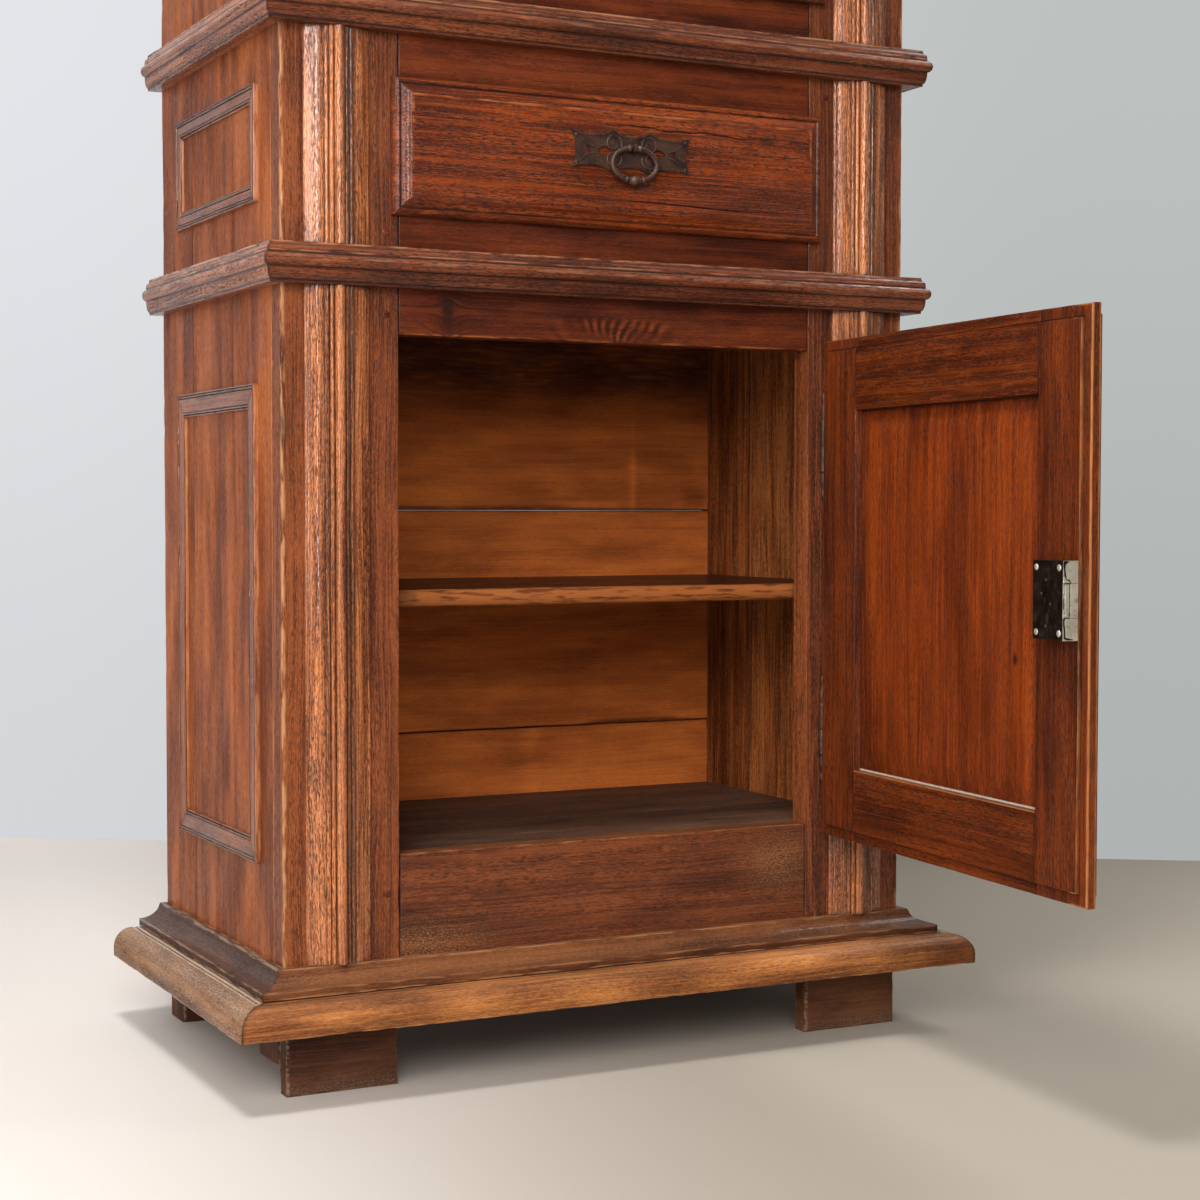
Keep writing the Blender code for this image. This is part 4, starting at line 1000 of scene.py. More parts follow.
@dataclass
class Mouldings:
    """The mitred runs round three sides of the case: plinth, two waists and cornice."""

    maker: Maker
    seed: int = 100
    step: float = 0.006
    cornice_step: float = 0.012
    foot: float = 0.080
    # painted light and shade: the plinth board's round nose is pale on top and dark towards its underside
    nose_light_and_shade: Ramp = Ramp((0.080, 0.088, 0.102, 0.114), (0.06, 0.20, 0.42, 0.60))
    ledge_line: tuple[float, float] = (0.0060, 0.0030)
    quirk_lines: tuple[tuple[float, float], ...] = ((0.0385, 0.0013), (0.0445, 0.0013))

    def build(self) -> None:
        """Make every run."""
        cavetto, nose = self.plinth_sections()
        for side in SIDES:
            upper = self.run(cavetto, side, self.step)
            lower = self.run(nose, side, self.step).weathered(self.seed + 5, 0.0012, 0.0030)
            # painted light and shade: darker towards the nose's underside
            lower.tone = self.nose_light_and_shade.at(lower.points[..., 2])
            for reach, spread in self.quirk_lines:
                self.dusty(lower, side, reach, spread)
            self.dusty(upper, side, *self.ledge_line)
            nose_finish, sweep_finish, waist_finish = self.finishes(side)
            self.maker.piece(f"plinth_{side}_board", [lower], nose_finish, Body.CASE, [f"plinth_{side}"])
            self.maker.piece(f"plinth_{side}_sweep", [upper], sweep_finish, Body.CASE)
            for stage, bottom in (("lower", STAGES[0][1]), ("upper", STAGES[1][1])):
                skin = self.run(self.waist_section(bottom), side, self.step)
                rise = skin.points[..., 2] - bottom
                skin.edge *= np.clip((rise - 0.004) / 0.004, 0.12, 1)
                skin.add_wear_and_highlight(0.50 * hill(rise, 0.026, 0.0040))
                # painted highlight: a pale line along the fillet's top arris, laid with the wear mask
                skin.add_wear_and_highlight(hill(rise, 0.0335, 0.0011))
                name = f"{stage}_waist_{side}"
                self.maker.piece(f"{name}_moulding", [skin], waist_finish, Body.CASE, [name])
        crown = [self.run(self.cornice_section(), side, self.cornice_step) for side in SIDES]
        self.maker.piece("cornice_moulding", crown, RAIL, Body.CASE, ["cornice"])

    @staticmethod
    def dusty(skin: Skin, side: str, reach: float, spread: float) -> None:
        """Lay a pale line on the upper face of a run.

        Args:
            skin: the run.
            side: the side of the case that it lies on; a line on the front is dust, the others are worn too.
            reach: how far from the case the line lies.
            spread: how far it fades.
        """
        x, y, _ = np.moveaxis(skin.points, -1, 0)
        out = CASE_FRONT - y if side == "front" else np.abs(x) - HALF_WIDTH
        line = hill(out, reach, spread) * (skin.normals()[..., 2] > 0.5)
        skin.dust = np.maximum(skin.dust, line)
        skin.add_wear_and_highlight(line * (side != "front"))

    @staticmethod
    def finishes(side: str) -> tuple[Oak, Oak, Oak]:
        """Return the finishes of a side's plinth board, plinth sweep and waists; the sides' sweep is a darker
        copy as painted shade.
        """
        return (NOSE, SWEEP, WAIST) if side == "front" else (NOSE_SIDE, SHADED_SIDE_SWEEP, WAIST_SIDE)

    def run(self, section: Array, side: str, step: float) -> Skin:
        """Return one weathered length of a (reach, height) section along a side, mitred at the front corners.

        Args:
            section: the closed section.
            side: "front", "left" or "right".
            step: distance between rows.

        Returns:
            The run's skin.
        """
        self.seed += 11
        section = resampled(section, 0.006)
        reach, height = section.T
        if side == "front":
            start = placed(section, -HALF_WIDTH - reach, CASE_FRONT - reach, height)
            end = placed(section, HALF_WIDTH + reach, CASE_FRONT - reach, height)
        else:
            sign = -1 if side == "left" else 1
            start = placed(section, sign * (HALF_WIDTH + reach), CASE_FRONT - reach, height)
            end = placed(section, sign * (HALF_WIDTH + reach), CASE_BACK, height)
        return prism(start, end, section, self.seed, step).weathered(self.seed)

    def plinth_sections(self) -> tuple[Array, Array]:
        """Return the sections of the cavetto moulding and of the round-nosed board below it."""
        ledge, fillet, shelf, ease = 0.010, 0.036, 0.046, 0.002
        shelf_z = PLINTH_TOP - 0.027
        board_z = shelf_z - 0.0004
        sweep = arc((fillet, PLINTH_TOP), (-0.026, 0.018), 0, -90, 12)
        top = [(GAP, PLINTH_TOP), (ledge - 0.001, PLINTH_TOP)]
        cavetto = np.concatenate([top, sweep[1:], [(fillet, shelf_z), (GAP, shelf_z)]])
        groove = np.linspace(0.0365, 0.0455, 10)
        sunk = 0.0010 * hill(groove, 0.0412, 0.0009)
        quirk = np.stack([groove, board_z - sunk], -1)
        round_nose = arc((shelf, board_z - 0.024), (0.0235, 0.024), 90, 0, 14)
        under = arc((shelf + 0.0215, self.foot + ease), (ease, ease), 0, -90, 3)
        nose = np.concatenate([[(GAP, board_z)], quirk, round_nose, under, [(GAP, self.foot)]])
        return cavetto, nose

    @staticmethod
    def waist_section(bottom: float) -> Array:
        """Return a waist's section above a height: foot, cavetto, torus, fillet and cyma."""
        top, foot, neck, fillet = bottom + 0.044, 0.0175, 0.0215, 0.003
        torus_top = top - 0.013
        torus_foot = torus_top - 0.014
        cyma = (0.002, 0.005)
        return np.concatenate(
            [
                [(GAP, bottom), (foot, bottom), (foot, bottom + fillet)],
                arc((foot, torus_foot), (0.004, torus_foot - bottom - fillet), -90, 0, 8)[1:],
                arc((neck, (torus_foot + torus_top) / 2), (0.005, 0.007), -90, 90, 14)[1:],
                [(neck, torus_top + fillet)],
                arc((neck - cyma[0], torus_top + fillet), cyma, 0, 90, 6)[1:],
                arc((neck - cyma[0], top), cyma, -90, -180, 6)[1:],
                [(GAP, top)],
            ]
        )

    @staticmethod
    def cornice_section() -> Array:
        """Return the cornice's section: bead, long cyma sweep, fascia."""
        foot, base, bead = 0.014, STAGES[2][1], 0.006
        sweep, top = base + 0.021, base + 0.106
        cyma = (0.020, 0.029)
        fascia = foot + 0.049
        return np.concatenate(
            [
                [(GAP, base)],
                arc((foot, base + bead), (bead, bead), -90, 90, 10),
                [(foot, sweep)],
                arc((foot, sweep + cyma[1]), cyma, -90, 0, 10)[1:],
                arc((foot + 2 * cyma[0], sweep + cyma[1]), cyma, 180, 90, 10)[1:],
                [(fascia, sweep + 2 * cyma[1]), (fascia, top), (GAP, top)],
            ]
        )


@dataclass
class Posts:
    """The two front posts: a board, and a reeded pilaster worked on its face at each stage.

    Sections are (distance from the outer edge, depth) points. The ramps give tones and painted shade by the
    distance across, and what is added to the tones, or taken from them, by the height. The pilaster's tones
    are painted light
    and shade: pale on the left of the bead and on it, dark on its right, where painted shade darkens the
    reeds further.
    """

    maker: Maker
    foot: float = 0.080
    head: float = 1.9736
    width: float = 0.136
    thickness: float = 0.030
    strip: float = 0.026
    pilaster_width: float = 0.076
    beyond: float = 0.1
    mortise: tuple[float, float] = (0.0123, 0.0198)
    mortise_depth: float = 0.0065
    mortise_half: float = 0.0175
    board_tones: Ramp = Ramp(
        (0.0, 0.003, 0.006, 0.024, 0.028, 0.100, 0.103, 0.110, 0.114, 0.126, 0.130, 0.136),
        (0.96, 0.95, 0.92, 0.78, 0.56, 0.50, 0.46, 0.50, 0.40, 0.34, 0.40, 0.48),
    )
    upper_shade: Ramp = Ramp((0.55, 0.85, 0.93), (0.0, 0.14, 0.42))
    # painted light and shade across the pilaster: pale left of the bead and on it, dark right of it; the ramp
    # after the next one is painted shade in the reeds right of the bead
    pilaster_light_and_shade: Ramp = Ramp(
        (0.0, 0.004, 0.006, 0.020, 0.022, 0.032, 0.035, 0.040, 0.044, 0.055, 0.060, 0.076),
        (0.50, 0.48, 0.56, 0.60, 0.58, 0.64, 0.76, 0.62, 0.12, 0.10, 0.34, 0.22),
    )
    pilaster_painted_shade: Ramp = Ramp((0.043, 0.046, 0.055, 0.058), (0.0, 0.45, 0.45, 0.0))
    left_rise: Ramp = Ramp((0.15, 0.35, 0.70), (-0.16, -0.10, 0.02))
    right_rise: Ramp = Ramp((0.15, 0.35, 0.70), (-0.36, -0.20, -0.04))

    def build(self) -> None:
        """Make both posts."""
        for name, sign, seed in (("left_post", -1, 300), ("right_post", 1, 340)):
            pilasters = [
                self.pilaster(sign, bottom + GAP, top - GAP, seed + 3 * number)
                for number, (bottom, top) in enumerate(STAGES)
            ]
            self.maker.piece(f"{name}_board", self.boards(sign, seed), STILE, Body.CASE, [name])
            self.maker.piece(f"{name}_pilasters", pilasters, POST, Body.CASE)

    def boards(self, sign: int, seed: int) -> list[Skin]:
        """Return the post's board in lengths; the left one leaves a mortise open for each bolt.

        Args:
            sign: -1 on the left, 1 on the right.
            seed: shifts the grain.

        Returns:
            One skin for each length.
        """
        cuts = [self.foot, self.head]
        if sign < 0:
            middles = [sum(opening) / 2 + LOCK_RISE for opening in (LOWER_OPENING, UPPER_OPENING)]
            cuts[1:1] = [z + d for z in middles for d in (-self.mortise_half, self.mortise_half)]
        made = []
        for number, (bottom, top) in enumerate(zip(cuts, cuts[1:])):
            section = resampled(self.board_section(notched=number % 2 == 1), 0.010)
            skin = self.upright(section, sign, bottom, top, seed, self.board_tone(sign, *section.T), 0.0)
            away, depth = section.T
            own = skin.edge * np.where(away > self.beyond, 0.35, 1.0) * (depth < 0.02)
            # painted light: the jamb is also given a share of the pale wear colour
            own = np.maximum(own, 0.22 * self.jamb(away, depth))
            skin.edge = np.maximum(own, hill(np.hypot(away, depth), 0, 0.0050))
            skin.tone -= self.upper_shade.at(skin.points[..., 2]) * np.where(away < 0.004, 0.3, 1.0)
            made.append(skin)
        return made

    def jamb(self, away: Array, depth: Array) -> Array:
        """Return which points of the board's section lie in the jamb."""
        return (away > self.width - 0.001) & (depth > 0.002)

    def board_tone(self, sign: int, away: Array, depth: Array) -> Array:
        """Return the board's tone: pale at its outer arris, pale in the jamb as painted light, darker beside
        the opening.
        """
        shade = 0.12 * (sign > 0) * (away > self.beyond)
        return np.where(self.jamb(away, depth), 0.92, self.board_tones.at(away) - shade)

    def board_section(self, notched: bool) -> Array:
        """Return the board's section, with the bolt's mortise if it is notched."""
        width, outer, inner = self.width, 0.0026, 0.0012
        first = arc((outer, outer), (outer, outer), 180, 270, 5)
        second = arc((width - inner, inner), (inner, inner), 270, 360, 3)
        (near, far), sunk = self.mortise, width - self.mortise_depth
        notch = [(width, near), (sunk, near), (sunk, far), (width, far)]
        back = [(width, self.thickness), (0.0, self.thickness)]
        return np.concatenate([first, second, notch if notched else np.zeros((0, 2)), back])

    def pilaster(self, sign: int, bottom: float, top: float, seed: int) -> Skin:
        """Return one stage's pilaster: fillet, swelling band and two reeds up to a half-round bead, and down.

        Args:
            sign: -1 on the left, 1 on the right.
            bottom: its lower end.
            top: its upper end.
            seed: shifts the grain.

        Returns:
            The pilaster's skin.
        """
        fillet, rise, swelling, swell, reed, climb = 0.004, 0.003, 0.017, 0.0055, 0.0055, 0.0014
        share = np.linspace(0, 1, 13)[1:]
        band = np.stack([fillet + swelling * share, rise + swell * np.sin(share * np.pi / 2)], -1)
        reeds = [
            arc((band[-1, 0] + reed * (k + 0.5), band[-1, 1] + climb * k), (reed / 2, 0.0022), 180, 0, 8)[1:]
            for k in (0, 1)
        ]
        corner = arc((fillet, 0.0), (fillet, rise), 180, 90, 5)[1:]
        rising = np.concatenate([[(0.0, 0.0)], corner, band, *reeds])
        bead = arc((self.pilaster_width / 2, 0.0113), (0.006, 0.0058), 180, 0, 14)
        falling = rising[::-1] * (-1, 1) + (self.pilaster_width, 0)
        face = np.concatenate([[(0.0, -rise)], rising, bead, falling, [(self.pilaster_width, -rise)]])
        face = face[np.concatenate([[True], np.hypot(*np.diff(face, axis=0).T) > 1e-5])]
        section = resampled(np.stack([self.strip + face[:, 0], -face[:, 1]], -1), 0.004)
        across = section[:, 0] - self.strip
        across = across if sign < 0 else self.pilaster_width - across
        # painted light and shade across the pilaster, and painted shade in the reeds right of the bead
        skin = self.upright(section, sign, bottom, top, seed, self.pilaster_light_and_shade.at(across))
        skin.edge *= 0.3
        skin.grime_and_shade = np.maximum(0.7 * skin.grime_and_shade, self.pilaster_painted_shade.at(across))
        skin.tone += (self.left_rise if sign < 0 else self.right_rise).at(skin.points[..., 2])
        return skin

    @staticmethod
    def upright(
        section: Array, sign: int, bottom: float, top: float, seed: int, tone: Array, ends: float = 0.6
    ) -> Skin:
        """Return a weathered length of a section between two heights.

        Args:
            section: the closed section.
            sign: -1 on the left, 1 on the right.
            bottom: its lower end.
            top: its upper end.
            seed: shifts the grain.
            tone: the tone of each section point.
            ends: how dirty the two ends are, from 0 to 1.

        Returns:
            The length's skin.
        """
        x = sign * (HALF_WIDTH - section[:, 0])
        y = CASE_FRONT + section[:, 1]
        start, end = (placed(section, x, y, z) for z in (bottom, top))
        skin = prism(start, end, section, seed, 0.005, ends)
        skin.wood[..., 0] += bottom
        skin.tone = np.broadcast_to(tone, skin.edge.shape).copy()
        return skin.weathered(seed)


@dataclass
class Carcase:
    """The boards of the case: rails, sides with their frames, back, floors, shelf, top and feet.

    The ramps give tones by the height; the back's and the linings' carry painted shade, and the back's inner
    face takes more painted shade near its top. The low rail's adds to its tone by x.
    """

    maker: Maker
    lintel_knot: Knot = Knot(-0.207, 0.862, 0.008, 0.015)
    low_rail_tones: Ramp = Ramp((-0.26, 0.0, 0.26), (-0.14, 0.0, 0.10))
    # painted shade: the side linings are darker towards the top and the bottom of the cupboard
    lining_tones_and_shade: Ramp = Ramp((0.26, 0.38, 0.55, 0.68, 0.80), (0.42, 0.50, 0.74, 0.68, 0.26))
    # painted shade in the back's tones: darker under the shelf and near the top
    back_tones_and_shade: Ramp = Ramp(
        (0.25, 0.335, 0.352, 0.50, 0.54, 0.62, 0.64, 0.72, 0.79, 0.83, 0.86),
        (0.52, 0.52, 0.62, 0.42, 0.46, 0.50, 0.60, 0.56, 0.42, 0.14, 0.10),
    )
    # painted shade near the top of the inner back, under the rail over the opening
    top_painted_shade: Ramp = Ramp((0.75, 0.825, 0.90, 0.92), (0.0, 0.75, 0.75, 0.0))
    plank: float = 0.295
    first_joint: float = 0.087

    def build(self) -> None:
        """Make every board."""
        rails = ("bottom_rail", "drawer_sill_rail", "drawer_head_rail", "top_rail")
        for number, name in enumerate(rails):
            knots = (self.lintel_knot,) if name == "drawer_sill_rail" else ()
            self.single(name, RAIL if number else LOW_RAIL, 400 + 9 * number, butted=0.9, knots=knots)
        self.sides()
        self.back()
        self.inside()
        for number, name in enumerate(("front_left", "front_right")):
            self.bracket(f"{name}_foot", -1 if number == 0 else 1, 600 + 5 * number)
        for number, name in enumerate(("back_left", "back_right")):
            self.single(f"{name}_foot", FOOT, 610 + 5 * number, 0.004)

    def bracket(self, name: str, sign: int, seed: int) -> None:
        """Make a front foot: a board, and behind its outer end a block that stops short of the floor.

        Args:
            name: the foot's CAD node.
            sign: -1 on the left, 1 on the right.
            seed: shifts the grain.
        """
        thick, clear, wide, step = 0.028, 0.027, 0.034, 0.008
        low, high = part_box(name)
        front = board(low, (high[0], low[1] + thick, high[2]), Axis.X, Axis.Y, seed, 0.004, step)
        # painted light and shade: the right foot's board is paler, the left one's darker
        front.tone += 0.20 * sign
        front.dust = hill(front.points[..., 2], low[2], 0.012)
        outer = low[0] if sign < 0 else high[0]
        x0, x1 = sorted((outer, outer - sign * wide))
        near = (x0, low[1] + clear, low[2] + clear)
        block = board(near, (x1, high[1], high[2]), Axis.Y, Axis.X, seed + 3, 0.003, step)
        block.tone += 0.10
        self.maker.piece(f"{name}_board", [front, block], FOOT, Body.CASE, [name])

    def single(
        self,
        name: str,
        finish: Oak,
        seed: int,
        ease: float = 0.0018,
        butted: float = 0.0,
        knots: Sequence[Knot] = (),
    ) -> None:
        """Make one board, with its grain across the front, in the place of its CAD node.

        Args:
            name: the CAD node.
            finish: the board's finish.
            seed: shifts the grain.
            ease: radius of the arrises.
            butted: how dirty its ends are, from 0 to 1.
            knots: knots in the board.
        """
        low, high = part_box(name)
        skin = board(low, high, Axis.X, Axis.Y, seed, ease, 0.0018 if knots else 0.008, butted, knots)
        if finish is LOW_RAIL:
            x, z = skin.points[..., 0], skin.points[..., 2]
            left = hill(x, -0.23, 0.07) * hill(z, 0.155, 0.022)
            right = hill(x, 0.225, 0.04) * hill(z, 0.215, 0.03)
            skin.dust = np.clip(left + right, 0, 1)
            skin.tone += self.low_rail_tones.at(x)
        if knots:
            self.rays(skin)
        self.maker.piece(f"{name}_board", [skin], finish, Body.CASE, [name])

    @staticmethod
    def rays(skin: Skin) -> None:
        """Lay the oak's rays in the lintel's lower half: pale and dark strokes that fan out above a point."""
        x, z = skin.points[..., 0], skin.points[..., 2]
        fan = np.arctan2(x, z - 0.79)
        strokes = np.sin(38 * fan + 3.5 * waves(431, skin.points, (40, 0, 70)))
        place = hill(x, 0.01, 0.085, 4) * hill(z, 0.846, 0.015, 4)
        place *= np.clip(waves(433, skin.points, (60, 0, 110)) + 0.9, 0, 1)
        skin.tone += (0.25 + 0.35 * strokes) * place
        skin.add_grime_and_shade(0.9 * np.clip(-1.6 * strokes - 0.4, 0, 1) * place)
        skin.add_wear_and_highlight(0.6 * np.clip(1.5 * strokes - 0.3, 0, 1) * place)

    def sides(self) -> None:
        """Make both sides of three upright boards each, their inner faces, and the frames planted on them."""
        for name, sign, seed in (("left", -1, 700), ("right", 1, 760)):
            low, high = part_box(f"{name}_side")
            skins = planks(low, high, Axis.Z, Axis.X, (low[1] + 0.138, low[1] + 0.292), seed, seam=0.4)
            self.maker.piece(f"{name}_side_boards", skins, SIDE, Body.CASE, [f"{name}_side"])
            inwards, inset = sign * 0.0010, 0.004
            near = (low[0] - inwards, low[1] + inset, low[2] + inset)
            far = (high[0] - inwards, high[1] - 0.0195, high[2] - inset)
            lining = planks(near, far, Axis.Z, Axis.X, (low[1] + 0.14, low[1] + 0.29), seed + 30)
            for skin in lining:
                y, z = skin.points[..., 1], skin.points[..., 2]
                # painted shade by the height, less a dark streak in one board
                skin.tone = self.lining_tones_and_shade.at(z) - 0.42 * hill(y, 0.444, 0.012, 4)
            self.maker.piece(f"{name}_side_lining", lining, LINING, Body.CASE)
            widths = {"lower": 0.028, "drawer": 0.021, "upper": 0.028}
            for number, (stage, width) in enumerate(widths.items()):
                node = f"{name}_{stage}_side_frame"
                skins = self.frame(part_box(node), sign, width, seed + 40 + 5 * number)
                self.maker.piece(f"{node}_moulding", skins, FRAME, Body.CASE, [node])

    @staticmethod
    def frame(box: tuple[Place, Place], sign: int, width: float, seed: int) -> list[Skin]:
        """Return the four mitred sticks of a planted frame: two reeds, a flat band, two reeds.

        Args:
            box: lowest and highest corner of the frame.
            sign: -1 on the left side, 1 on the right.
            width: width of the sticks.
            seed: shifts the grain.

        Returns:
            Four skins.
        """
        low, high = box
        face = sign * HALF_WIDTH
        reed, sunk, pair = 0.0026, 0.001, (0, 1)
        outer = [arc((reed * (k + 0.5), 0.0042), (reed / 2, 0.0016), 180, 0, 6) for k in pair]
        inner = [
            arc((width - reed * (1.5 - k), 0.0030 - 0.0012 * k), (reed / 2, 0.0015), 180, 0, 6) for k in pair
        ]
        start, end = 2 * reed, width - 2 * reed
        band = [(start + 0.0006, 0.0036), (start + 0.0012, 0.0046), (end - 0.0012, 0.0042)]
        section = np.concatenate([[(0.0, -sunk)], *outer, band, *inner, [(width, -sunk)]])
        section = resampled(section, 0.004)
        inset, out = section.T
        corners = (
            (low[1] + inset, low[2] + inset), (high[1] - inset, low[2] + inset),
            (high[1] - inset, high[2] - inset), (low[1] + inset, high[2] - inset),
        )
        rings = [placed(section, face + sign * out, y, z) for y, z in corners]
        made = []
        for number, (first, last) in enumerate(zip(rings, [*rings[1:], rings[0]])):
            skin = prism(first, last, section, seed + number).weathered(seed + number, 0.0003, 0.0008)
            skin.tone += 0.06 if number % 2 else -0.18
            made.append(skin)
        return made

    def back(self) -> None:
        """Make the back of broad planks: stained, scratched and painted with shade inside, evenly aged
        outside.
        """
        low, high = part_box("back_panel")
        joints = [LOWER_OPENING[0] + self.first_joint + self.plank * k for k in range(6)]
        skins = planks(low, high, Axis.X, Axis.Y, [z for z in joints if z < high[2] - 0.02], 800, 0.008)
        for skin in skins:
            x, z = skin.points[..., 0], skin.points[..., 2]
            stain = sum(hill(z, joint + 0.012, 0.016) for joint in joints)
            patch = hill(x, 0.353, 0.022, 4) * hill(z, 0.657, 0.026, 4)
            scratch = hill(x, 0.255, 0.006) * (z > 0.64) * (z < 0.77)
            scratch += hill(x, 0.10, 0.020) * (z < 0.345)
            inner = skin.points[..., 1] < (low[1] + high[1]) / 2
            self.joint_shadow(skin, joints[1], np.interp(x, (-0.26, 0.36), (0.010, 0.002)))
            self.joint_shadow(skin, joints[0], 0.0008 + 0.0060 * hill(x, 0.26, 0.08, 4))
            # painted shade: the inner face darkens near the top, and its tones below carry the back's painted
            # shade
            skin.add_grime_and_shade(inner * self.top_painted_shade.at(z))
            stained = self.back_tones_and_shade.at(z) - 0.14 * stain * (waves(801, skin.points, (14, 0, 9)) + 0.6)
            aged = 0.36 + 0.10 * waves(803, skin.points, (6, 0, 18))
            skin.tone = np.where(inner, stained + 0.2 * scratch - 0.25 * patch, aged)
        self.maker.piece("back_planks", skins, INNER, Body.CASE, ["back_panel"])

    @staticmethod
    def joint_shadow(skin: Skin, joint: float, reach: Array) -> None:
        """Darken a strip above a joint of the back, as wide as its reach."""
        above = skin.points[..., 2] - joint
        skin.add_grime_and_shade(0.75 * hill(above, 0, reach, 4) * (above > 0))

    def inside(self) -> None:
        """Make the cupboard floors, the drawer's board, the shelf and the top."""
        for number, name in enumerate(("lower_floor", "upper_floor", "drawer_board", "top_board")):
            low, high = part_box(name)
            joints = (low[1] + 0.17, low[1] + 0.30)
            skins = planks(low, high, Axis.X, Axis.Z, joints, 850 + 40 * number)
            self.maker.piece(f"{name}_boards", skins, FLOORING, Body.CASE, [name])
        low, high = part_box("lower_shelf")
        middle, half = (low[2] + high[2]) / 2, (high[2] - low[2]) / 2
        round_nose = 0.007
        nose = arc((low[1] + round_nose, middle), (round_nose, half), -90, -270, 12)
        section = resampled(np.concatenate([[(high[1], low[2])], nose, [(high[1], high[2])]]), 0.010)
        start, end = (placed(section, x, section[:, 0], section[:, 1]) for x in (low[0], high[0]))
        skin = prism(start, end, section, 880, 0.006)
        inwards = np.clip(skin.points[..., 1] - low[1] - 0.005, 0, 1)
        skin.edge = hill(inwards, 0, 0.003)
        # painted shade: the shelf's faces behind its nose are darker
        skin.tone -= 0.18 * (inwards > 0.01)
        skin.weathered(880, 0.0004, 0.0009)
        self.maker.piece("lower_shelf_board", [skin], SHELF, Body.CASE, ["lower_shelf"])


def lipped(distance: Array) -> Array:
    """Return how far a lipped front stands forward of its back plane, by the distance in from its edge.

    A square edge of 7 mm, a quarter round of 7 mm, a narrow quirk and an ogee of 10 mm up to the field.
    """
    edge, radius = 0.007, 0.007
    inside = np.clip(radius - distance, 0, radius)
    rounded = edge + np.sqrt(radius**2 - inside**2)
    quirk = 0.0012 * hill(distance, 0.008, 0.0009)
    rise = np.clip((distance - 0.0095) / 0.010, 0, 1)
    return rounded - quirk + 0.006 * rise**2 * (3 - 2 * rise)


def stepped(distance: Array) -> Array:
    """Return how far a door's front stands forward of its lip's back plane, by the distance from its edge.

    A square lip of 12 mm with an eased arris, and 9 mm in a quarter-round step of 8 mm up to the face.
    """
    rise = np.clip((distance - 0.009) / 0.003, 0, 1)
    return 0.012 - eased(distance, 0.002) + 0.008 * np.sqrt(1 - (1 - rise) ** 2)


LIP_MARKS = (
    0.0, 0.0002, 0.0006, 0.0012, 0.002, 0.003, 0.0045, 0.006, 0.007, 0.0074, 0.008, 0.0086, 0.0095, 0.0105,
    0.0115, 0.0125, 0.0135, 0.0145, 0.0155, 0.0165, 0.0175, 0.0185, 0.0195, 0.0208, 0.024,
)
STEP_MARKS = (
    0.0, 0.0002, 0.0006, 0.0012, 0.002, 0.003, 0.0045, 0.006, 0.0075, 0.0088, 0.0090, 0.0091, 0.0094, 0.0099,
    0.0105, 0.0112, 0.0120, 0.0123, 0.0128, 0.0130, 0.0133, 0.0138, 0.015, 0.018,
)


